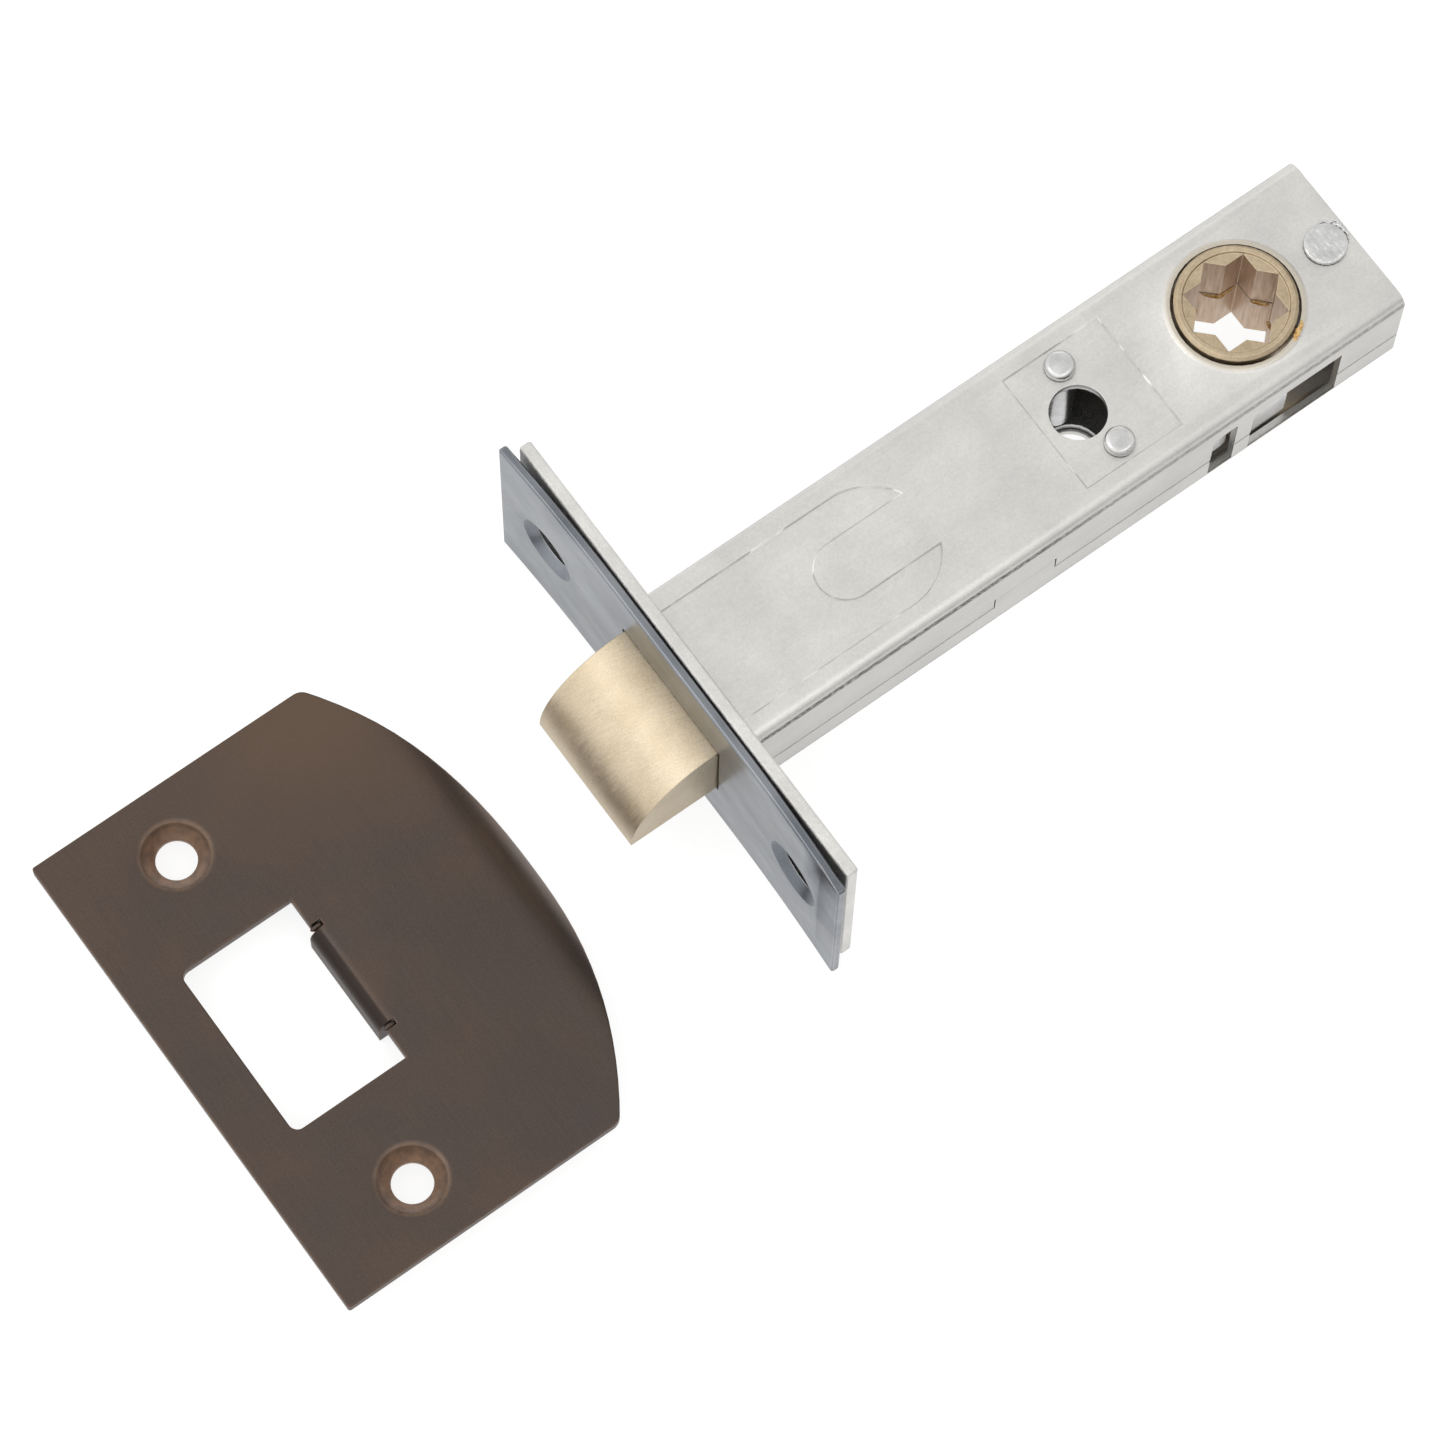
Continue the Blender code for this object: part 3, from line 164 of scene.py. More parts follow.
def make_floor():
    mesh = bpy.data.meshes.new("floor")
    work = bmesh.new()
    bmesh.ops.create_grid(work, x_segments=1, y_segments=1, size=FLOOR_SIZE / 2)
    work.to_mesh(mesh)
    work.free()
    floor = link_object("floor", mesh)
    floor.location = (0.0, 0.0, CAD_BOX[0].z)
    material = bpy.data.materials.new("floor_paper")
    material.use_nodes = True
    shader = material.node_tree.nodes["Principled BSDF"]
    shader.inputs["Base Color"].default_value = (*FLOOR_COLOUR, 1.0)
    shader.inputs["Roughness"].default_value = 0.9
    shader.inputs["Specular IOR Level"].default_value = 0.1
    shader.inputs["Emission Color"].default_value = (1.0, 1.0, 1.0, 1.0)
    shader.inputs["Emission Strength"].default_value = FLOOR_GLOW
    mesh.materials.append(material)


def make_softbox(name, direction, size, radiance):
    """A rectangular light that shines on the object from that direction."""
    data = bpy.data.lights.new(name, "AREA")
    data.shape = "RECTANGLE"
    data.size, data.size_y = size
    data.energy = radiance * math.pi * size[0] * size[1]
    light = link_object(name, data)
    towards = Vector(direction).normalized()
    light.location = towards * SOFTBOX_DISTANCE
    light.rotation_mode = "QUATERNION"
    light.rotation_quaternion = (-towards).to_track_quat("-Z", "Y")


def make_world():
    """A light tent: bright above and to the left, darker at the horizon, pale where it is seen."""
    world = bpy.data.worlds.new("studio")
    bpy.context.scene.world = world
    world.use_nodes = True
    tree = world.node_tree
    tree.nodes.clear()

    def add(kind):
        return tree.nodes.new(kind)

    def ramp(value, low, high, to_low, to_high):
        made = add("ShaderNodeMapRange")
        made.interpolation_type = "SMOOTHSTEP"
        for socket, number in zip(("From Min", "From Max", "To Min", "To Max"),
                                  (low, high, to_low, to_high)):
            made.inputs[socket].default_value = number
        tree.links.new(value, made.inputs["Value"])
        return made.outputs["Result"]

    parts = add("ShaderNodeSeparateXYZ")
    tree.links.new(add("ShaderNodeTexCoord").outputs["Generated"], parts.inputs[0])
    across_sky = ramp(parts.outputs["X"], *ACROSS_SKY, LEFT_LIGHT, HIGH_LIGHT)
    horizon = ramp(parts.outputs["Y"], *FRONT_SKY, FRONT_HORIZON_LIGHT, SIDE_HORIZON_LIGHT)
    height = ramp(parts.outputs["Z"], *LOW_SKY, 0.0, 1.0)
    dimming = add("ShaderNodeMix")
    tree.links.new(height, dimming.inputs["Factor"])
    tree.links.new(horizon, dimming.inputs["A"])
    dimming.inputs["B"].default_value = 1.0
    strength = add("ShaderNodeMath")
    strength.operation = "MULTIPLY"
    tree.links.new(across_sky, strength.inputs[0])
    tree.links.new(dimming.outputs["Result"], strength.inputs[1])
    tent = add("ShaderNodeBackground")
    tent.inputs["Color"].default_value = (*SKY_TINT, 1.0)
    tree.links.new(strength.outputs[0], tent.inputs["Strength"])
    seen = add("ShaderNodeBackground")
    seen.inputs["Color"].default_value = (*BACKDROP_COLOUR, 1.0)
    mix = add("ShaderNodeMixShader")
    tree.links.new(add("ShaderNodeLightPath").outputs["Is Camera Ray"], mix.inputs[0])
    tree.links.new(tent.outputs[0], mix.inputs[1])
    tree.links.new(seen.outputs[0], mix.inputs[2])
    tree.links.new(mix.outputs[0], add("ShaderNodeOutputWorld").inputs["Surface"])


def make_studio():
    make_camera()
    make_floor()
    make_world()
    for name, (direction, size, radiance) in SOFTBOXES.items():
        make_softbox(name, direction, size, radiance)


# --- material building ----------------------------------------------------------------------
class Surface:
    """A procedural Principled material. Lengths are in millimetres on the object."""

    def __init__(self, name, metallic=1.0):
        self.material = bpy.data.materials.new(name)
        self.material.use_nodes = True
        self.tree = self.material.node_tree
        self.shader = self.tree.nodes["Principled BSDF"]
        self.shader.inputs["Metallic"].default_value = metallic
        self.coordinates = self.tree.nodes.new("ShaderNodeTexCoord").outputs["Object"]
        self.normal = None

    def node(self, kind, **inputs):
        made = self.tree.nodes.new(kind)
        for name, value in inputs.items():
            socket = made.inputs[name.replace("_", " ")]
            self.feed(socket, value)
        return made

    def feed(self, socket, value):
        if isinstance(value, bpy.types.NodeSocket):
            self.tree.links.new(value, socket)
        elif isinstance(value, tuple) and len(value) == 3 and socket.type == "RGBA":
            socket.default_value = (*value, 1.0)
        else:
            socket.default_value = value

    def noise(self, size, detail=3.0, roughness=0.55, distortion=0.0, turn=(0.0, 0.0, 0.0)):
        """Noise with features of that size: one length, or one along each axis."""
        sizes = (size, size, size) if isinstance(size, (int, float)) else size
        mapping = self.tree.nodes.new("ShaderNodeMapping")
        mapping.vector_type = "POINT"
        self.tree.links.new(self.coordinates, mapping.inputs["Vector"])
        mapping.inputs["Rotation"].default_value = turn
        scaled = self.tree.nodes.new("ShaderNodeMapping")
        scaled.inputs["Scale"].default_value = tuple(1.0 / (length * MM) for length in sizes)
        self.tree.links.new(mapping.outputs["Vector"], scaled.inputs["Vector"])
        texture = self.node("ShaderNodeTexNoise", Vector=scaled.outputs["Vector"], Scale=1.0,
                            Detail=detail, Roughness=roughness, Distortion=distortion)
        return texture.outputs["Fac"]

    def height(self):
        """The distance above or below the plane through the bolt's axis."""
        return self.math("ABSOLUTE", self.along("Z"))

    def distance_from(self, axis_point):
        """The distance from an upright axis through that point."""
        flat = self.tree.nodes.new("ShaderNodeVectorMath")
        flat.operation = "MULTIPLY"
        self.tree.links.new(self.coordinates, flat.inputs[0])
        flat.inputs[1].default_value = (1.0, 1.0, 0.0)
        made = self.tree.nodes.new("ShaderNodeVectorMath")
        made.operation = "DISTANCE"
        self.tree.links.new(flat.outputs["Vector"], made.inputs[0])
        made.inputs[1].default_value = (axis_point.x, axis_point.y, 0.0)
        return made.outputs["Value"]

    def along(self, axis):
        return self.node("ShaderNodeSeparateXYZ", Vector=self.coordinates).outputs[axis]

    def band(self, value, low, high, fade):
        """1 between two values, and 0 beyond a fade on each side."""
        rising = self.remap(value, low - fade, low)
        return self.math("MULTIPLY", rising, self.remap(value, high + fade, high))

    def shade(self, colour, factor):
        """The colour made darker or lighter by a factor."""
        return self.mix(1.0, colour, self.grey(factor), "MULTIPLY")

    def grey(self, value):
        made = self.tree.nodes.new("ShaderNodeCombineColor")
        for socket in ("Red", "Green", "Blue"):
            self.tree.links.new(value, made.inputs[socket])
        return made.outputs["Color"]

    def remap(self, value, low, high, to_low=0.0, to_high=1.0):
        made = self.node("ShaderNodeMapRange", Value=value)
        made.inputs["From Min"].default_value = low
        made.inputs["From Max"].default_value = high
        made.inputs["To Min"].default_value = to_low
        made.inputs["To Max"].default_value = to_high
        return made.outputs["Result"]

    def math(self, operation, first, second=0.0):
        made = self.tree.nodes.new("ShaderNodeMath")
        made.operation = operation
        self.feed(made.inputs[0], first)
        self.feed(made.inputs[1], second)
        return made.outputs["Value"]

    def mix(self, factor, first, second, blend="MIX"):
        made = self.tree.nodes.new("ShaderNodeMix")
        made.data_type = "RGBA"
        made.blend_type = blend
        self.feed(made.inputs["Factor"], factor)
        self.feed(made.inputs[6], first)
        self.feed(made.inputs[7], second)
        return made.outputs[2]

    def bump(self, height, depth):
        """Adds relief: height runs from 0 to 1 over that depth."""
        made = self.node("ShaderNodeBump", Height=height)
        made.inputs["Distance"].default_value = depth * MM
        made.inputs["Strength"].default_value = 1.0
        if self.normal is not None:
            self.tree.links.new(self.normal, made.inputs["Normal"])
        self.normal = made.outputs["Normal"]

    def soften_edges(self, radius):
        """Rounds sharp edges a little in shading, and returns 1 on those edges and 0 elsewhere."""
        bevel = self.tree.nodes.new("ShaderNodeBevel")
        bevel.samples = 6
        bevel.inputs["Radius"].default_value = radius * MM
        self.normal = bevel.outputs["Normal"]
        geometry = self.tree.nodes.new("ShaderNodeNewGeometry")
        made = self.tree.nodes.new("ShaderNodeVectorMath")
        made.operation = "DOT_PRODUCT"
        self.tree.links.new(bevel.outputs["Normal"], made.inputs[0])
        self.tree.links.new(geometry.outputs["Normal"], made.inputs[1])
        return self.remap(made.outputs["Value"], 0.995, 0.85)

    def finish(self, colour, roughness):
        self.feed(self.shader.inputs["Base Color"], colour)
        self.feed(self.shader.inputs["Roughness"], roughness)
        if self.normal is not None:
            self.tree.links.new(self.normal, self.shader.inputs["Normal"])
        return self.material


MID_NOISE = (0.35, 0.65)
WIDE_NOISE = (0.3, 0.7)
# Painted reflection of the brass hub on the case round it.
PAINTED_BRASS_REFLECTION = (0.50, 0.43, 0.31)
# Painted shade and painted highlight for the lines along the panel creases.
CREASE_PAINTED_SHADE, CREASE_PAINTED_HIGHLIGHT = (0.30, 0.29, 0.27), (0.92, 0.91, 0.88)
# Painted shade for the band along the case's front bend.
BEND_PAINTED_SHADE = (0.08, 0.075, 0.07)
# Painted highlight on the zinc's edges.
ZINC_EDGE_HIGHLIGHT = (0.86, 0.86, 0.84)
DARK_SATIN, LIGHT_SATIN = (0.143, 0.157, 0.177), (0.243, 0.258, 0.282)
WARM_SATIN = (0.27, 0.255, 0.25)
# Painted highlight on the face plate's edges.
SATIN_EDGE_HIGHLIGHT = (0.66, 0.67, 0.68)
DARK_BORE, LIGHT_BORE = (0.46, 0.34, 0.25), (0.64, 0.49, 0.37)
# Painted highlight on the brass's edges.
BRASS_EDGE_HIGHLIGHT = (0.80, 0.70, 0.52)
DARK_STEEL, LIGHT_STEEL = (0.52, 0.52, 0.52), (0.66, 0.66, 0.66)
# Painted highlight on the steel's edges.
STEEL_EDGE_HIGHLIGHT = (0.84, 0.84, 0.83)
DARK_WIRE, LIGHT_WIRE = (0.20, 0.20, 0.21), (0.46, 0.45, 0.44)
DARK_BRONZE, BROWN_BRONZE = (0.086, 0.068, 0.060), (0.103, 0.076, 0.061)
GREY_BRONZE = (0.083, 0.070, 0.066)
WARM_BRONZE = (0.150, 0.098, 0.066)
SINK_COPPER = (0.300, 0.195, 0.132)
WORN_COPPER = (0.22, 0.135, 0.09)
# Painted shade for the strike's tab.
TAB_PAINTED_SHADE = (0.022, 0.018, 0.017)
DARK_AMBER, LIGHT_AMBER = (0.46, 0.24, 0.06), (0.72, 0.48, 0.18)


def pressed_outline(surface):
    """1 along the creases of the pressed panels on the case's top, and 0 elsewhere."""
    half_line = CREASE_HALF_WIDTH
    x, y = surface.along("X"), surface.math("ABSOLUTE", surface.along("Y"))

    def line(value, place):
        return surface.band(value, place - half_line, place + half_line, half_line)

    def between(value, low, high):
        return surface.band(value, low, high, half_line)

    bracket_low, bracket_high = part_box("anchor_bracket")
    panel_centre = Vector((PANEL_CENTRE_X, 0.0, 0.0))
    tongue_centre = Vector((TONGUE_CENTRE_X, 0.0, 0.0))
    meeting = panel_centre.x + math.sqrt(PANEL_HALF_WIDTH ** 2 - TONGUE_HALF_WIDTH ** 2)
    past_panel, past_edge = 40.0 * MM, 8.0 * MM
    strokes = [
        (line(y, PANEL_HALF_WIDTH), between(x, -MM, panel_centre.x)),
        (line(surface.distance_from(panel_centre), PANEL_HALF_WIDTH),
         surface.math("MULTIPLY", between(x, panel_centre.x, past_panel),
                      between(y, TONGUE_HALF_WIDTH, past_edge))),
        (line(y, TONGUE_HALF_WIDTH), between(x, tongue_centre.x, meeting)),
        (line(surface.distance_from(tongue_centre), TONGUE_HALF_WIDTH),
         between(x, 0.0, tongue_centre.x)),
        (line(y, bracket_high.y), between(x, bracket_low.x, bracket_high.x)),
        (line(x, bracket_low.x), between(y, -MM, bracket_high.y)),
        (line(x, bracket_high.x), between(y, -MM, bracket_high.y)),
    ]
    marks = None
    for stroke, extent in strokes:
        made = surface.math("MULTIPLY", stroke, extent)
        marks = made if marks is None else surface.math("MAXIMUM", marks, made)
    return surface.math("MULTIPLY", marks, surface.remap(surface.along("Z"), *CASE_TOP_FADE))


def paint_case_light_and_shade(surface, colour):
    """Painted shade on the side walls, a painted brass reflection round the hub, painted highlight and shade along
    the panel creases and a painted dark band along the front bend.
    """
    # Painted shade: the side walls are made 0.84 times as bright.
    side_wall_shade = surface.remap(surface.math("ABSOLUTE", surface.along("Y")), *SIDE_WALL_SHADE_FADE)
    colour = surface.shade(colour, surface.remap(side_wall_shade, 0.0, 1.0, 1.0, 0.84))
    # Painted reflection: a brass tint on the case round the hub stands in for the hub reflected in it.
    brass_reflection = surface.band(surface.distance_from(FOLLOWER_AXIS), *HUB_REFLECTION_RADII, 0.35 * MM)
    colour = surface.mix(surface.math("MULTIPLY", brass_reflection, 0.55), colour, PAINTED_BRASS_REFLECTION)
    # Painted highlight and shade: broken bright and dark lines along the creases of the pressed panels.
    crease_light_and_shade = surface.mix(surface.remap(surface.noise(2.6, detail=1.0), 0.52, 0.66),
                         CREASE_PAINTED_SHADE, CREASE_PAINTED_HIGHLIGHT)
    faded = surface.remap(surface.noise(3.2, detail=2.0), 0.30, 0.62, 0.32, 0.80)
    colour = surface.mix(surface.math("MULTIPLY", pressed_outline(surface), faded), colour, crease_light_and_shade)
    # Painted shade: a broken dark band along the front bend stands in for the dark horizon reflected there.
    line = surface.band(surface.height(), *FRONT_BEND_SHADE_HEIGHTS, 0.10 * MM)
    front = surface.remap(surface.along("Y"), *FRONT_BEND_SHADE_FADE)
    forward = surface.remap(surface.along("X"), 36.0 * MM, 46.0 * MM, 1.0, 0.6)
    broken = surface.remap(surface.noise((0.5, 0.18, 0.18), detail=3.0), 0.34, 0.54, 0.3, 1.0)
    bend_shade = surface.math("MULTIPLY", surface.math("MULTIPLY", line, front),
                        surface.math("MULTIPLY", broken, forward))
    return surface.mix(surface.math("MULTIPLY", bend_shade, 0.9), colour, BEND_PAINTED_SHADE)


def zinc_plate(name, dark, light, roughness, grain=1.0, painted_case_light=False):
    """Zinc-plated sheet: a cloudy sheen over a fine pitted grain and a painted highlight on its edges, with the
    case's painted light and shade or not.
    """
    surface = Surface(name)
    edges = surface.soften_edges(0.12)
    clouds = surface.noise(7.0, detail=4.0)
    streaks = surface.noise((9.0, 0.35, 0.35), detail=2.0)
    pits = surface.noise(0.15, detail=2.0)
    speckle = surface.noise(0.42, detail=3.0)
    colour = surface.mix(surface.remap(clouds, *MID_NOISE), dark, light)
    colour = surface.shade(colour, surface.remap(streaks, *WIDE_NOISE, 0.985, 1.015))
    colour = surface.shade(colour, surface.remap(pits, 0.25, 0.75, 0.92, 1.06))
    colour = surface.shade(colour, surface.remap(speckle, *WIDE_NOISE, 0.965, 1.03))
    # Painted light and shade of the case, when asked for.
    if painted_case_light:
        colour = paint_case_light_and_shade(surface, colour)
    # Painted highlight: the edges are mixed towards a pale colour.
    colour = surface.mix(surface.math("MULTIPLY", edges, 0.6), colour, ZINC_EDGE_HIGHLIGHT)
    spread = surface.math("ADD", surface.math("MULTIPLY", pits, 0.20),
                          surface.math("MULTIPLY", clouds, 0.12))
    rough = surface.math("ADD", spread, roughness - 0.16)
    surface.bump(pits, 0.012 * grain)
    surface.bump(speckle, 0.010 * grain)
    return surface.finish(colour, rough)


def satin_plate(name):
    """Bluish passivated face plate, finely brushed along its length."""
    surface = Surface(name)
    edges = surface.soften_edges(0.14)
    clouds = surface.noise((6.0, 11.0, 6.0), detail=3.0)
    lines = surface.noise((0.10, 6.0, 0.10), detail=2.0)
    colour = surface.mix(surface.remap(clouds, *MID_NOISE),
                         DARK_SATIN, LIGHT_SATIN)
    tint = surface.noise(4.0, detail=2.0)
    colour = surface.mix(surface.remap(tint, 0.58, 0.72, 0.0, 0.35), colour, WARM_SATIN)
    colour = surface.shade(colour, surface.remap(lines, *WIDE_NOISE, 0.95, 1.05))
    colour = surface.shade(colour, surface.remap(surface.noise(0.2), *WIDE_NOISE, 0.94, 1.05))
    # Painted highlight: the edges are mixed towards a pale colour.
    colour = surface.mix(surface.math("MULTIPLY", edges, 0.7), colour, SATIN_EDGE_HIGHLIGHT)
    rough = surface.remap(lines, 0.25, 0.75, 0.26, 0.38)
    surface.bump(lines, 0.004)
    surface.bump(surface.noise(0.5, detail=2.0), 0.008)
    return surface.finish(colour, rough)


def brushed_brass(name, dark, light, line_size, turn=(0.0, 0.0, 0.0), depth=0.012, bore=False):
    """Pale brushed brass with a painted highlight on its edges. The hub's is browner inside the bore; the bolt's
    sides get painted shade.
    """
    surface = Surface(name)
    edges = surface.soften_edges(0.14)
    clouds = surface.noise(5.0, detail=3.0)
    lines = surface.noise(line_size, detail=3.0, turn=turn)
    specks = surface.noise(0.20, detail=2.0)
    colour = surface.mix(surface.remap(clouds, *MID_NOISE), dark, light)
    colour = surface.shade(colour, surface.remap(lines, *WIDE_NOISE, 0.91, 1.08))
    colour = surface.shade(colour, surface.remap(specks, *WIDE_NOISE, 0.90, 1.09))
    if bore:
        inside = surface.remap(surface.distance_from(FOLLOWER_AXIS), *BORE_EDGE_RADII)
        walls = surface.remap(surface.noise((0.25, 0.25, 4.0)), *WIDE_NOISE)
        deep = surface.remap(surface.height(), *BORE_EDGE_HEIGHTS)
        colour = surface.mix(surface.math("MULTIPLY", inside, deep), colour,
                             surface.mix(walls, DARK_BORE, LIGHT_BORE))
    else:
        # Painted shade: the bolt's sides are made 0.86 times as bright.
        across = surface.math("ABSOLUTE", surface.along("Y"))
        colour = surface.shade(colour, surface.remap(across, *BOLT_SIDE_SHADE_FADE, 1.0, 0.86))
    # Painted highlight: the edges are mixed towards a pale colour.
    colour = surface.mix(surface.math("MULTIPLY", edges, 0.5), colour, BRASS_EDGE_HIGHLIGHT)
    rough = surface.math("ADD", surface.remap(lines, *WIDE_NOISE, 0.34, 0.46),
                         surface.math("MULTIPLY", specks, 0.08))
    surface.bump(lines, depth)
    surface.bump(specks, 0.010)
    return surface.finish(colour, rough)


def bright_steel(name):
    """Clean pressed steel, a little cloudy, with a painted highlight on its edges."""
    surface = Surface(name)
    edges = surface.soften_edges(0.10)
    clouds = surface.noise(1.8, detail=3.0)
    grain = surface.noise(0.10, detail=2.0)
    colour = surface.mix(surface.remap(clouds, *MID_NOISE), DARK_STEEL, LIGHT_STEEL)
    # Painted highlight: the edges are mixed towards a pale colour.
    colour = surface.mix(surface.math("MULTIPLY", edges, 0.5), colour, STEEL_EDGE_HIGHLIGHT)
    rough = surface.math("ADD", surface.math("MULTIPLY", grain, 0.15), 0.19)
    surface.bump(grain, 0.004)
    return surface.finish(colour, rough)


def spring_wire(name):
    """Dark drawn wire with lighter patches."""
    surface = Surface(name)
    grain = surface.noise(0.12, detail=2.0)
    clouds = surface.noise(1.5)
    colour = surface.mix(clouds, DARK_WIRE, LIGHT_WIRE)
    surface.bump(grain, 0.006)
    return surface.finish(colour, surface.remap(grain, *WIDE_NOISE, 0.25, 0.42))


def antique_bronze(name):
    """Dark browned plate: mottled, faintly brushed, with copper on worn edges and in the sinks, painted light on
    its bent-down lip and painted shade on its tab.
    """
    surface = Surface(name)
    edges = surface.soften_edges(0.35)
    clouds = surface.noise(19.0, detail=3.0, distortion=0.3)
    blotches = surface.noise(6.0, detail=3.0)
    lines = surface.noise((0.14, 7.0, 0.14), detail=2.0)
    specks = surface.noise(0.22, detail=2.0)
    colour = surface.mix(surface.remap(clouds, 0.38, 0.62),
                         DARK_BRONZE, BROWN_BRONZE)
    colour = surface.mix(surface.remap(blotches, 0.45, 0.75, 0.0, 0.4), colour,
                         GREY_BRONZE)
    colour = surface.shade(colour, surface.remap(lines, *WIDE_NOISE, 0.95, 1.05))
    colour = surface.shade(colour, surface.remap(specks, *WIDE_NOISE, 0.92, 1.07))
    # Painted light: the bent-down lip, below the plate's top, is made up to 1.7 times lighter.
    lip_painted_light = surface.remap(surface.along("Z"), STRIKE_HIGH.z - 0.5 * MM,
                            STRIKE_HIGH.z - 2.2 * MM, 1.0, 1.7)
    colour = surface.shade(colour, lip_painted_light)
    for screw in STRIKE_SCREWS:
        sink = surface.remap(surface.distance_from(screw), *SINK_RADII)
        rubbed = surface.remap(surface.noise(1.1, detail=2.0), *MID_NOISE, 0.5, 1.0)
        colour = surface.mix(surface.math("MULTIPLY", sink, rubbed), colour, SINK_COPPER)
    # Painted shade: the tab is made nearly black.
    across_tab = surface.band(surface.along("X"), TAB_FRONT, TAB_REAR, 0.25 * MM)
    along_tab = surface.band(surface.along("Y"), STRIKE_CENTRE_Y - TAB_HALF_LENGTH,
                             STRIKE_CENTRE_Y + TAB_HALF_LENGTH, 0.2 * MM)
    tab_shade = surface.math("MULTIPLY", surface.math("MULTIPLY", across_tab, along_tab), 0.75)
    colour = surface.mix(tab_shade, colour, TAB_PAINTED_SHADE)
    corner = surface.remap(surface.distance_from(STRIKE_WARM_CORNER), 20.0 * MM, 5.0 * MM)
    colour = surface.mix(surface.math("MULTIPLY", corner, 0.55), colour, WARM_BRONZE)
    worn = surface.math("MULTIPLY", edges,
                        surface.remap(surface.noise(2.0), *MID_NOISE, 0.15, 0.8))
    colour = surface.mix(worn, colour, WORN_COPPER)
    rough = surface.math("ADD", surface.remap(lines, *WIDE_NOISE, 0.36, 0.46),
                         surface.math("MULTIPLY", clouds, 0.10))
    surface.bump(lines, 0.003)
    surface.bump(specks, 0.008)
    surface.bump(surface.noise(1.6, detail=2.0), 0.010)
    return surface.finish(colour, rough)


def grease(name):
    """Amber grease, glossy and a little see-through."""
    surface = Surface(name, metallic=0.0)
    thick = surface.noise(0.5, detail=2.0)
    colour = surface.mix(surface.remap(thick, *MID_NOISE), DARK_AMBER, LIGHT_AMBER)
    surface.shader.inputs["Coat Weight"].default_value = 0.6
    surface.shader.inputs["Coat Roughness"].default_value = 0.06
    surface.shader.inputs["Subsurface Weight"].default_value = 0.2
    surface.shader.inputs["Subsurface Radius"].default_value = (0.6 * MM, 0.3 * MM, 0.1 * MM)
    surface.bump(surface.noise(0.3), 0.03)
    return surface.finish(colour, surface.remap(thick, *WIDE_NOISE, 0.12, 0.30))


# --- shading of the CAD nodes ---------------------------------------------------------------
def soft_shading_group(degrees=38.0):
    """Geometry nodes that weld a node's loose triangles and shade it smooth up to an angle."""
    group = bpy.data.node_groups.new("soft_shading", "GeometryNodeTree")
    group.interface.new_socket("Geometry", in_out="INPUT", socket_type="NodeSocketGeometry")
    group.interface.new_socket("Geometry", in_out="OUTPUT", socket_type="NodeSocketGeometry")
    nodes, links = group.nodes, group.links
    start = nodes.new("NodeGroupInput")
    end = nodes.new("NodeGroupOutput")
    clear = nodes.new("GeometryNodeRemoveAttribute")
    clear.inputs["Name"].default_value = "custom_normal"
    weld = nodes.new("GeometryNodeMergeByDistance")
    weld.inputs["Distance"].default_value = 0.002 * MM
    faces = nodes.new("GeometryNodeSetShadeSmooth")
    edges = nodes.new("GeometryNodeSetShadeSmooth")
    edges.domain = "EDGE"
    edges.inputs["Shade Smooth"].default_value = False
    angle = nodes.new("GeometryNodeInputMeshEdgeAngle")
    sharp = nodes.new("FunctionNodeCompare")
    sharp.operation = "GREATER_THAN"
    sharp.inputs["B"].default_value = math.radians(degrees)
    links.new(start.outputs[0], clear.inputs["Geometry"])
    links.new(clear.outputs[0], weld.inputs["Geometry"])
    links.new(weld.outputs[0], faces.inputs["Geometry"])
    links.new(faces.outputs[0], edges.inputs["Geometry"])
    links.new(angle.outputs["Unsigned Angle"], sharp.inputs["A"])
    links.new(sharp.outputs[0], edges.inputs["Selection"])
    links.new(edges.outputs[0], end.inputs[0])
    return group


def dress_cad_nodes(materials):
    group = soft_shading_group()
    for name, obj in NODES.items():
        modifier = obj.modifiers.new("soft_shading", "NODES")
        modifier.node_group = group
        for slot in obj.material_slots:
            slot.material = materials[name]


# --- detail pieces ----------------------------------------------------------------------------
BOLT_SPRING_WIRE, BOLT_SPRING_TURNS = 0.25 * MM, 6.0
RETURN_SPRING_WIRE, RETURN_SPRING_TURNS = 0.3 * MM, 11.0
POINTS_PER_TURN = 36
CLOSED_TURNS = 1.1
LUMP_SIZE = 0.35 * MM
GREASE_LEVEL = -0.25 * MM
BORE_INSET = 0.985
RIVET_RINGS, RIVET_SIDES = 22, 96


def finish_piece(obj, material, body):
    obj.data.materials.append(material)
    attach(obj, body)
    return obj


def lump(place, size, seed):
    """A value from -1 to 1 that changes over that size, the same on every run."""
    return noise.noise(place / size + Vector((seed, 2.0 * seed, 0.0)))


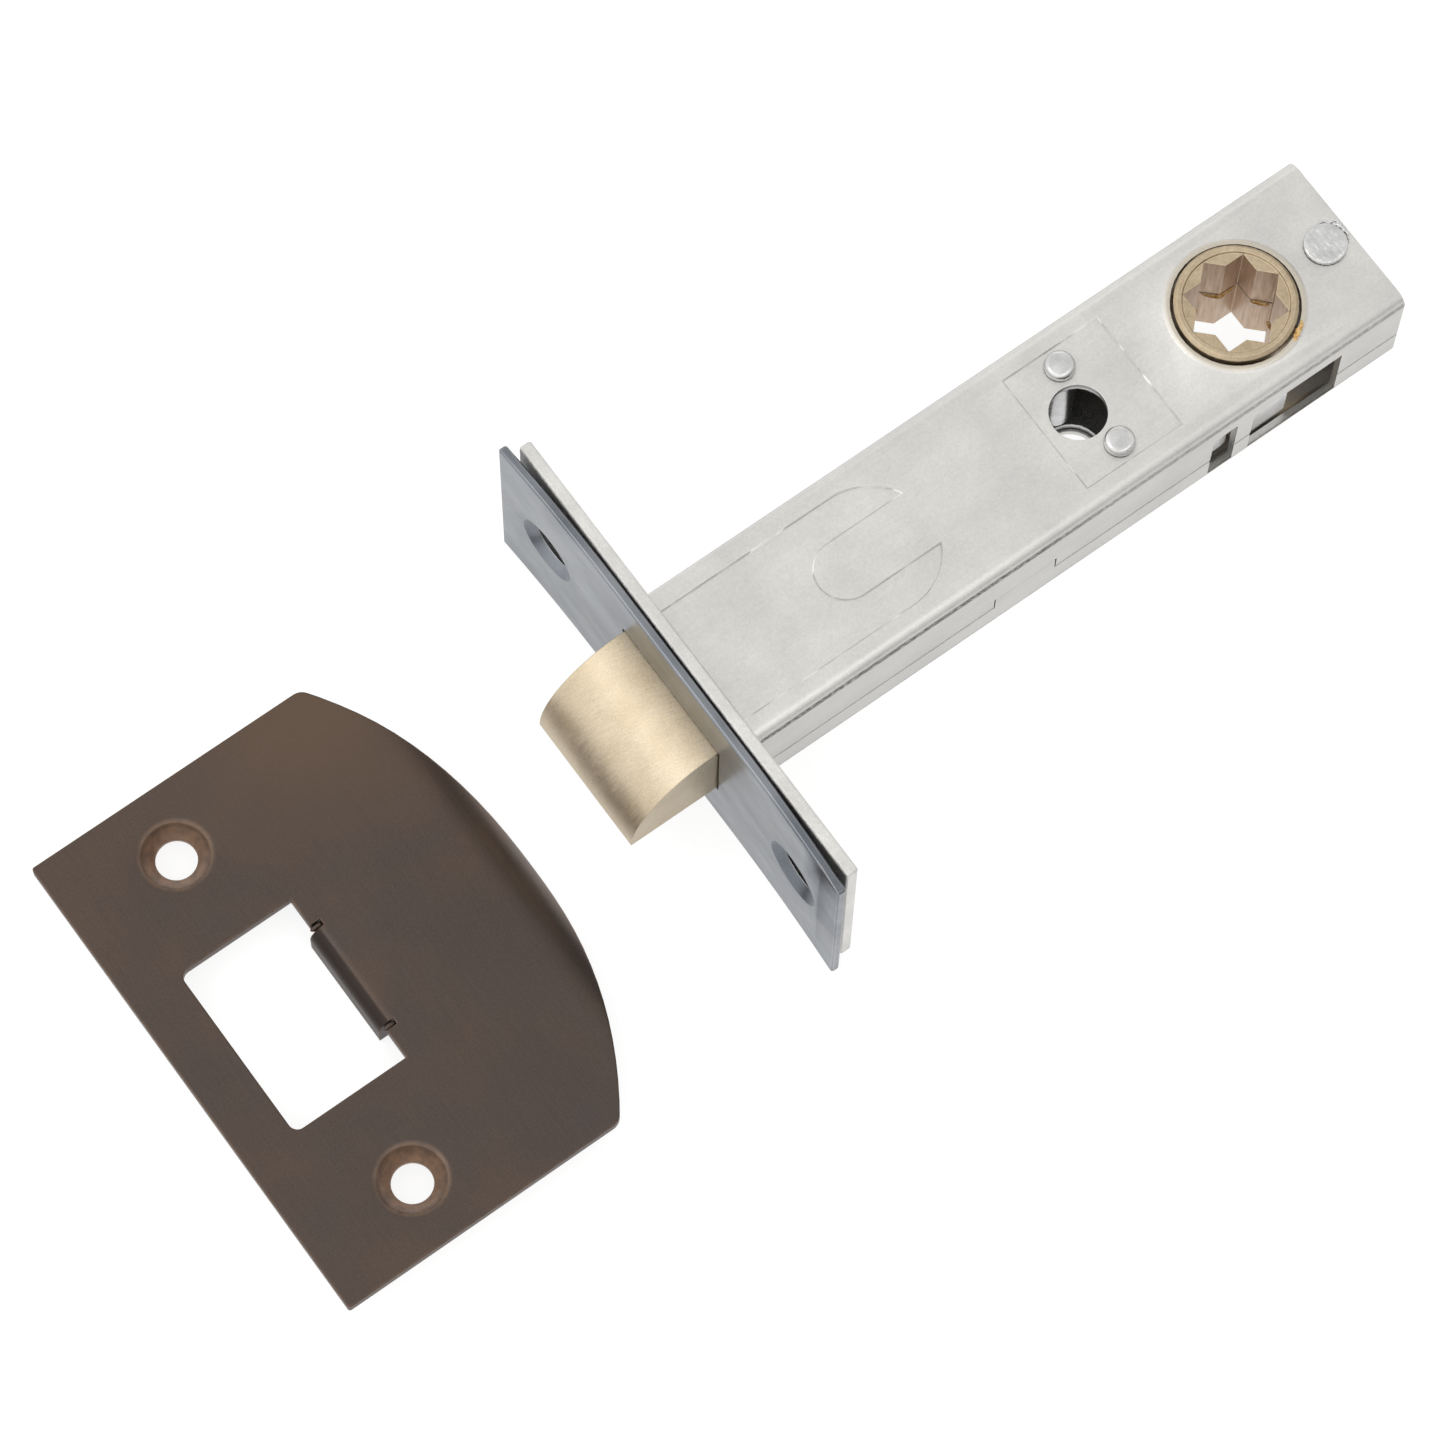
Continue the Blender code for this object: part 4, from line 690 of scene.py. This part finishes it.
def make_ridge(name, material, body, route, thickness, seed, roughness=0.35, steps=26, sides=12):
    """A lumpy bead along a route of points, thin at both ends. thickness is (across, up)."""
    points = [Vector(point) for point in route]
    lengths = [(second - first).length for first, second in zip(points, points[1:])]
    total = sum(lengths)
    work = bmesh.new()
    rings = []
    for step in range(steps + 1):
        share = step / steps
        distance = share * total
        index = 0
        while index < len(lengths) - 1 and distance > lengths[index]:
            distance -= lengths[index]
            index += 1
        first, second = points[index], points[index + 1]
        centre = first.lerp(second, distance / lengths[index])
        forward = (second - first).normalized()
        across = forward.cross(Vector((0.0, 0.0, 1.0))).normalized()
        up = across.cross(forward)
        taper = math.sqrt(max(0.02, math.sin(math.pi * min(max(share, 0.02), 0.98))))
        ring = []
        for side in range(sides):
            angle = 2 * math.pi * side / sides
            out = across * math.cos(angle) * thickness[0] + up * math.sin(angle) * thickness[1]
            swell = 1.0 + roughness * lump(centre + out, LUMP_SIZE, seed)
            ring.append(work.verts.new(centre + out * taper * swell))
        rings.append(ring)
    for first, second in zip(rings, rings[1:]):
        for side in range(sides):
            after = (side + 1) % sides
            work.faces.new((first[side], first[after], second[after], second[side]))
    work.faces.new(list(reversed(rings[0])))
    work.faces.new(rings[-1])
    bmesh.ops.recalc_face_normals(work, faces=work.faces)
    mesh = bpy.data.meshes.new(name)
    work.to_mesh(mesh)
    work.free()
    mesh.shade_smooth()
    return finish_piece(link_object(name, mesh), material, body)


def make_grease(material):
    """Grease squeezed out of the split in the bore, and a blob of it on the hub's rim."""
    axis = FOLLOWER_AXIS

    def wall(x, y, drop=0.0):
        return (axis.x + x, axis.y + y, GREASE_LEVEL - drop * MM)

    tip, flat, notch = (reach * BORE_INSET for reach in (BORE_TIP, BORE_FLAT, BORE_NOTCH))
    middle = (notch / 2, (tip + flat) / 2)
    make_ridge("bore_grease_a", material, "lower_follower",
               [wall(0.15 * notch, tip * 0.97), wall(*middle, 0.25),
                wall(notch * 0.98, flat, 0.15), wall(flat * 0.9, flat, -0.05)],
               (0.22 * MM, 0.34 * MM), seed=3.0, steps=40)
    make_ridge("bore_grease_b", material, "lower_follower",
               [wall(flat, notch, -0.1), wall(middle[1], middle[0], 0.35),
                wall(tip * 0.96, notch * 0.1, 0.1)], (0.24 * MM, 0.40 * MM), seed=7.0, steps=34)
    make_ridge("bore_grease_c", material, "lower_follower",
               [wall(-notch * 1.5, flat * 0.98, 0.2), wall(-notch, flat, 0.0),
                wall(-notch * 0.8, flat * 1.04, 0.0)], (0.18 * MM, 0.30 * MM), seed=11.0)
    make_ridge("bore_grease_d", material, "lower_follower",
               [wall(flat * 1.03, -notch * 0.7, 0.2), wall(flat, -notch, 0.3),
                wall(flat * 0.99, -notch * 1.4, 0.6)], (0.18 * MM, 0.34 * MM), seed=17.0)
    rim_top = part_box("case_upper_shell")[1].z
    arc = []
    for degrees in range(-70, -46, 4):
        turn = math.radians(degrees)
        radius = (6.92 - 0.004 * (degrees + 70)) * MM
        arc.append((axis.x + radius * math.cos(turn), axis.y + radius * math.sin(turn),
                    rim_top - 0.02 * MM))
    make_ridge("rim_grease", material, "case", arc, (0.30 * MM, 0.24 * MM), seed=23.0,
               roughness=0.9, steps=36)


def make_staked_head(material):
    """The hammered face of the rear rivet, with the burr it raised towards the rear edge."""
    low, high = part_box("rear_rivet")
    centre = (low + high) / 2
    radius = (high.x - low.x) / 2 - 0.06 * MM
    rings, sides = RIVET_RINGS, RIVET_SIDES
    work = bmesh.new()
    crown = work.verts.new((centre.x, centre.y, high.z + 0.06 * MM))
    rows = []
    for ring in range(1, rings + 1):
        share = ring / rings
        row = []
        for side in range(sides):
            turn = 2 * math.pi * side / sides
            x, y = radius * share * math.cos(turn), radius * share * math.sin(turn)
            place = Vector((x, y, 0.0))
            hammered = (abs(math.sin(x / MM * 5.2 + lump(place, 1.2 * MM, 1.0)))
                        + abs(math.sin(y / MM * 4.6 + lump(place, 1.1 * MM, 5.0)))) / 2
            rough = 0.7 * hammered + 0.5 * lump(place, 0.28 * MM, 9.0)
            fall = 1.0 - share ** 10
            z = high.z - 0.05 * MM + (0.07 + 0.11 * rough) * MM * fall
            row.append(work.verts.new((centre.x + x, centre.y + y, z)))
        rows.append(row)
    for side in range(sides):
        after = (side + 1) % sides
        work.faces.new((crown, rows[0][side], rows[0][after]))
        for inner, outer in zip(rows, rows[1:]):
            work.faces.new((inner[side], outer[side], outer[after], inner[after]))
    foot = [work.verts.new((vert.co.x, vert.co.y, high.z - 0.12 * MM)) for vert in rows[-1]]
    for side in range(sides):
        after = (side + 1) % sides
        work.faces.new((rows[-1][side], foot[side], foot[after], rows[-1][after]))
    work.faces.new(foot)
    bmesh.ops.recalc_face_normals(work, faces=work.faces)
    mesh = bpy.data.meshes.new("rivet_face")
    work.to_mesh(mesh)
    work.free()
    mesh.shade_smooth()
    finish_piece(link_object("rivet_face", mesh), material, "case")
    surface = high.z - 0.48 * MM
    burr_shape = ((72, 2.45), (55, 2.5), (38, 2.6), (18, 2.65), (-4, 2.55), (-30, 2.45))
    burr = [(centre.x + reach * MM * math.cos(math.radians(degrees)),
             centre.y + reach * MM * math.sin(math.radians(degrees)), surface)
            for degrees, reach in burr_shape]
    make_ridge("rivet_burr", material, "case", burr, (0.20 * MM, 0.16 * MM), seed=31.0,
               roughness=1.6, steps=60)
    chip = [(centre.x + x * MM, centre.y + y * MM, surface)
            for x, y in ((2.2, 1.9), (2.6, 1.2), (2.75, 0.6))]
    make_ridge("rivet_burr_edge", material, "case", chip, (0.16 * MM, 0.13 * MM), seed=37.0,
               roughness=1.6, steps=30)


def make_tab_scale(material):
    """Dark scale left in the two notches at the ends of the strike's tab."""
    for name, side, seed in (("tab_scale_a", 1, 51.0), ("tab_scale_b", -1, 53.0)):
        y = STRIKE_CENTRE_Y + side * TAB_NOTCH_OFFSET
        route = [(x, y, STRIKE_HIGH.z - 0.55 * MM) for x in (TAB_NOTCH_START, TAB_NOTCH_END)]
        make_ridge(name, material, "strike", route, (0.37 * MM, 0.42 * MM), seed=seed,
                   roughness=0.15, steps=24)


def make_forend_burr(material):
    """The rough bead where the case's top meets the forend plate."""
    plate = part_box("forend_plate")[1]
    case_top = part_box("case_upper_shell")[1].z
    for name, y_start, y_end, seed in (("forend_burr_a", 4.6, 0.9, 41.0),
                                       ("forend_burr_b", 0.7, -3.4, 43.0)):
        route = [(plate.x + (0.16 + 0.05 * math.sin(3.0 * share)) * MM,
                  (y_start + (y_end - y_start) * share) * MM, case_top - 0.42 * MM)
                 for share in (0.0, 0.25, 0.5, 0.75, 1.0)]
        make_ridge(name, material, "case", route, (0.14 * MM, 0.16 * MM), seed=seed,
                   roughness=1.3, steps=60)


def make_spring(node, material, body, wire, turns):
    """A wound spring with closed end turns, in the space of its CAD node."""
    name = f"wound_{node}"
    low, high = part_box(node)
    centre_y, centre_z = (low.y + high.y) / 2, (low.z + high.z) / 2
    mean = (high.y - low.y) / 2 - wire
    start, length = low.x + wire, high.x - low.x - 2 * wire
    active = length - 2 * CLOSED_TURNS * 2 * wire
    data = bpy.data.curves.new(name, "CURVE")
    data.dimensions = "3D"
    data.bevel_depth = wire
    data.bevel_resolution = 4
    data.use_fill_caps = True
    spline = data.splines.new("POLY")
    spline.points.add(round(turns * POINTS_PER_TURN))
    for index, point in enumerate(spline.points):
        turn = index / POINTS_PER_TURN
        if turn < CLOSED_TURNS:
            x = 2 * wire * turn
        elif turn > turns - CLOSED_TURNS:
            x = length - 2 * wire * (turns - turn)
        else:
            open_share = (turn - CLOSED_TURNS) / (turns - 2 * CLOSED_TURNS)
            x = 2 * wire * CLOSED_TURNS + active * open_share
        angle = 2 * math.pi * turn
        point.co = (start + x, centre_y + mean * math.cos(angle),
                    centre_z + mean * math.sin(angle), 1.0)
    curve = link_object(name + "_curve", data)
    bpy.context.view_layer.update()
    evaluated = curve.evaluated_get(bpy.context.evaluated_depsgraph_get())
    mesh = bpy.data.meshes.new_from_object(evaluated)
    bpy.data.objects.remove(curve)
    mesh.shade_smooth()
    spring = finish_piece(link_object(name, mesh), material, body)
    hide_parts(node)
    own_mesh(spring)


def make_springs(material):
    for side in ("left", "right"):
        make_spring(f"return_spring_{side}", material, "case",
                    RETURN_SPRING_WIRE, RETURN_SPRING_TURNS)
    make_spring("bolt_spring", material, "draw_frame_body",
                BOLT_SPRING_WIRE, BOLT_SPRING_TURNS)


make_studio()
# The case's zinc carries painted light and shade: darker side walls, crease lines, a hub reflection and a dark
# band along the front bend.
ZINC = zinc_plate("zinc_sheet", (0.605, 0.595, 0.575), (0.67, 0.66, 0.635), 0.40, painted_case_light=True)
ROUGH_ZINC = zinc_plate("rough_zinc_plate", (0.58, 0.57, 0.55), (0.70, 0.69, 0.665), 0.46,
                        grain=5.0)
SATIN = satin_plate("blue_satin_plate")
BOLT_BRASS = brushed_brass("brushed_bolt_brass", (0.555, 0.462, 0.330), (0.620, 0.530, 0.395),
                           (1.8, 0.15, 1.8), turn=(0.0, 0.0, 0.35), depth=0.006)
HUB_BRASS = brushed_brass("hub_brass", (0.445, 0.350, 0.235), (0.530, 0.430, 0.300),
                          (0.5, 0.5, 3.0), depth=0.004, bore=True)
STEEL = bright_steel("bright_steel")
WIRE = spring_wire("spring_wire")
BRONZE = antique_bronze("antique_bronze_plate")
BY_SLOT = {"zinc_steel": ZINC, "satin_plate": SATIN, "brass": BOLT_BRASS, "steel": STEEL,
           "spring_steel": WIRE, "antique_bronze": BRONZE}
node_slots = {part["node"]: part["material_slot"] for part in frame["record"]["subparts"]}
materials = {name: BY_SLOT[slot] for name, slot in node_slots.items()}
materials["follower_upper"] = HUB_BRASS
materials["follower_lower"] = HUB_BRASS
materials["forend_plate"] = ROUGH_ZINC
dress_cad_nodes(materials)
make_springs(WIRE)
make_grease(grease("amber_grease"))
make_staked_head(STEEL)
make_forend_burr(ROUGH_ZINC)
make_tab_scale(BRONZE)

bpy.context.scene.view_settings.view_transform = "Standard"
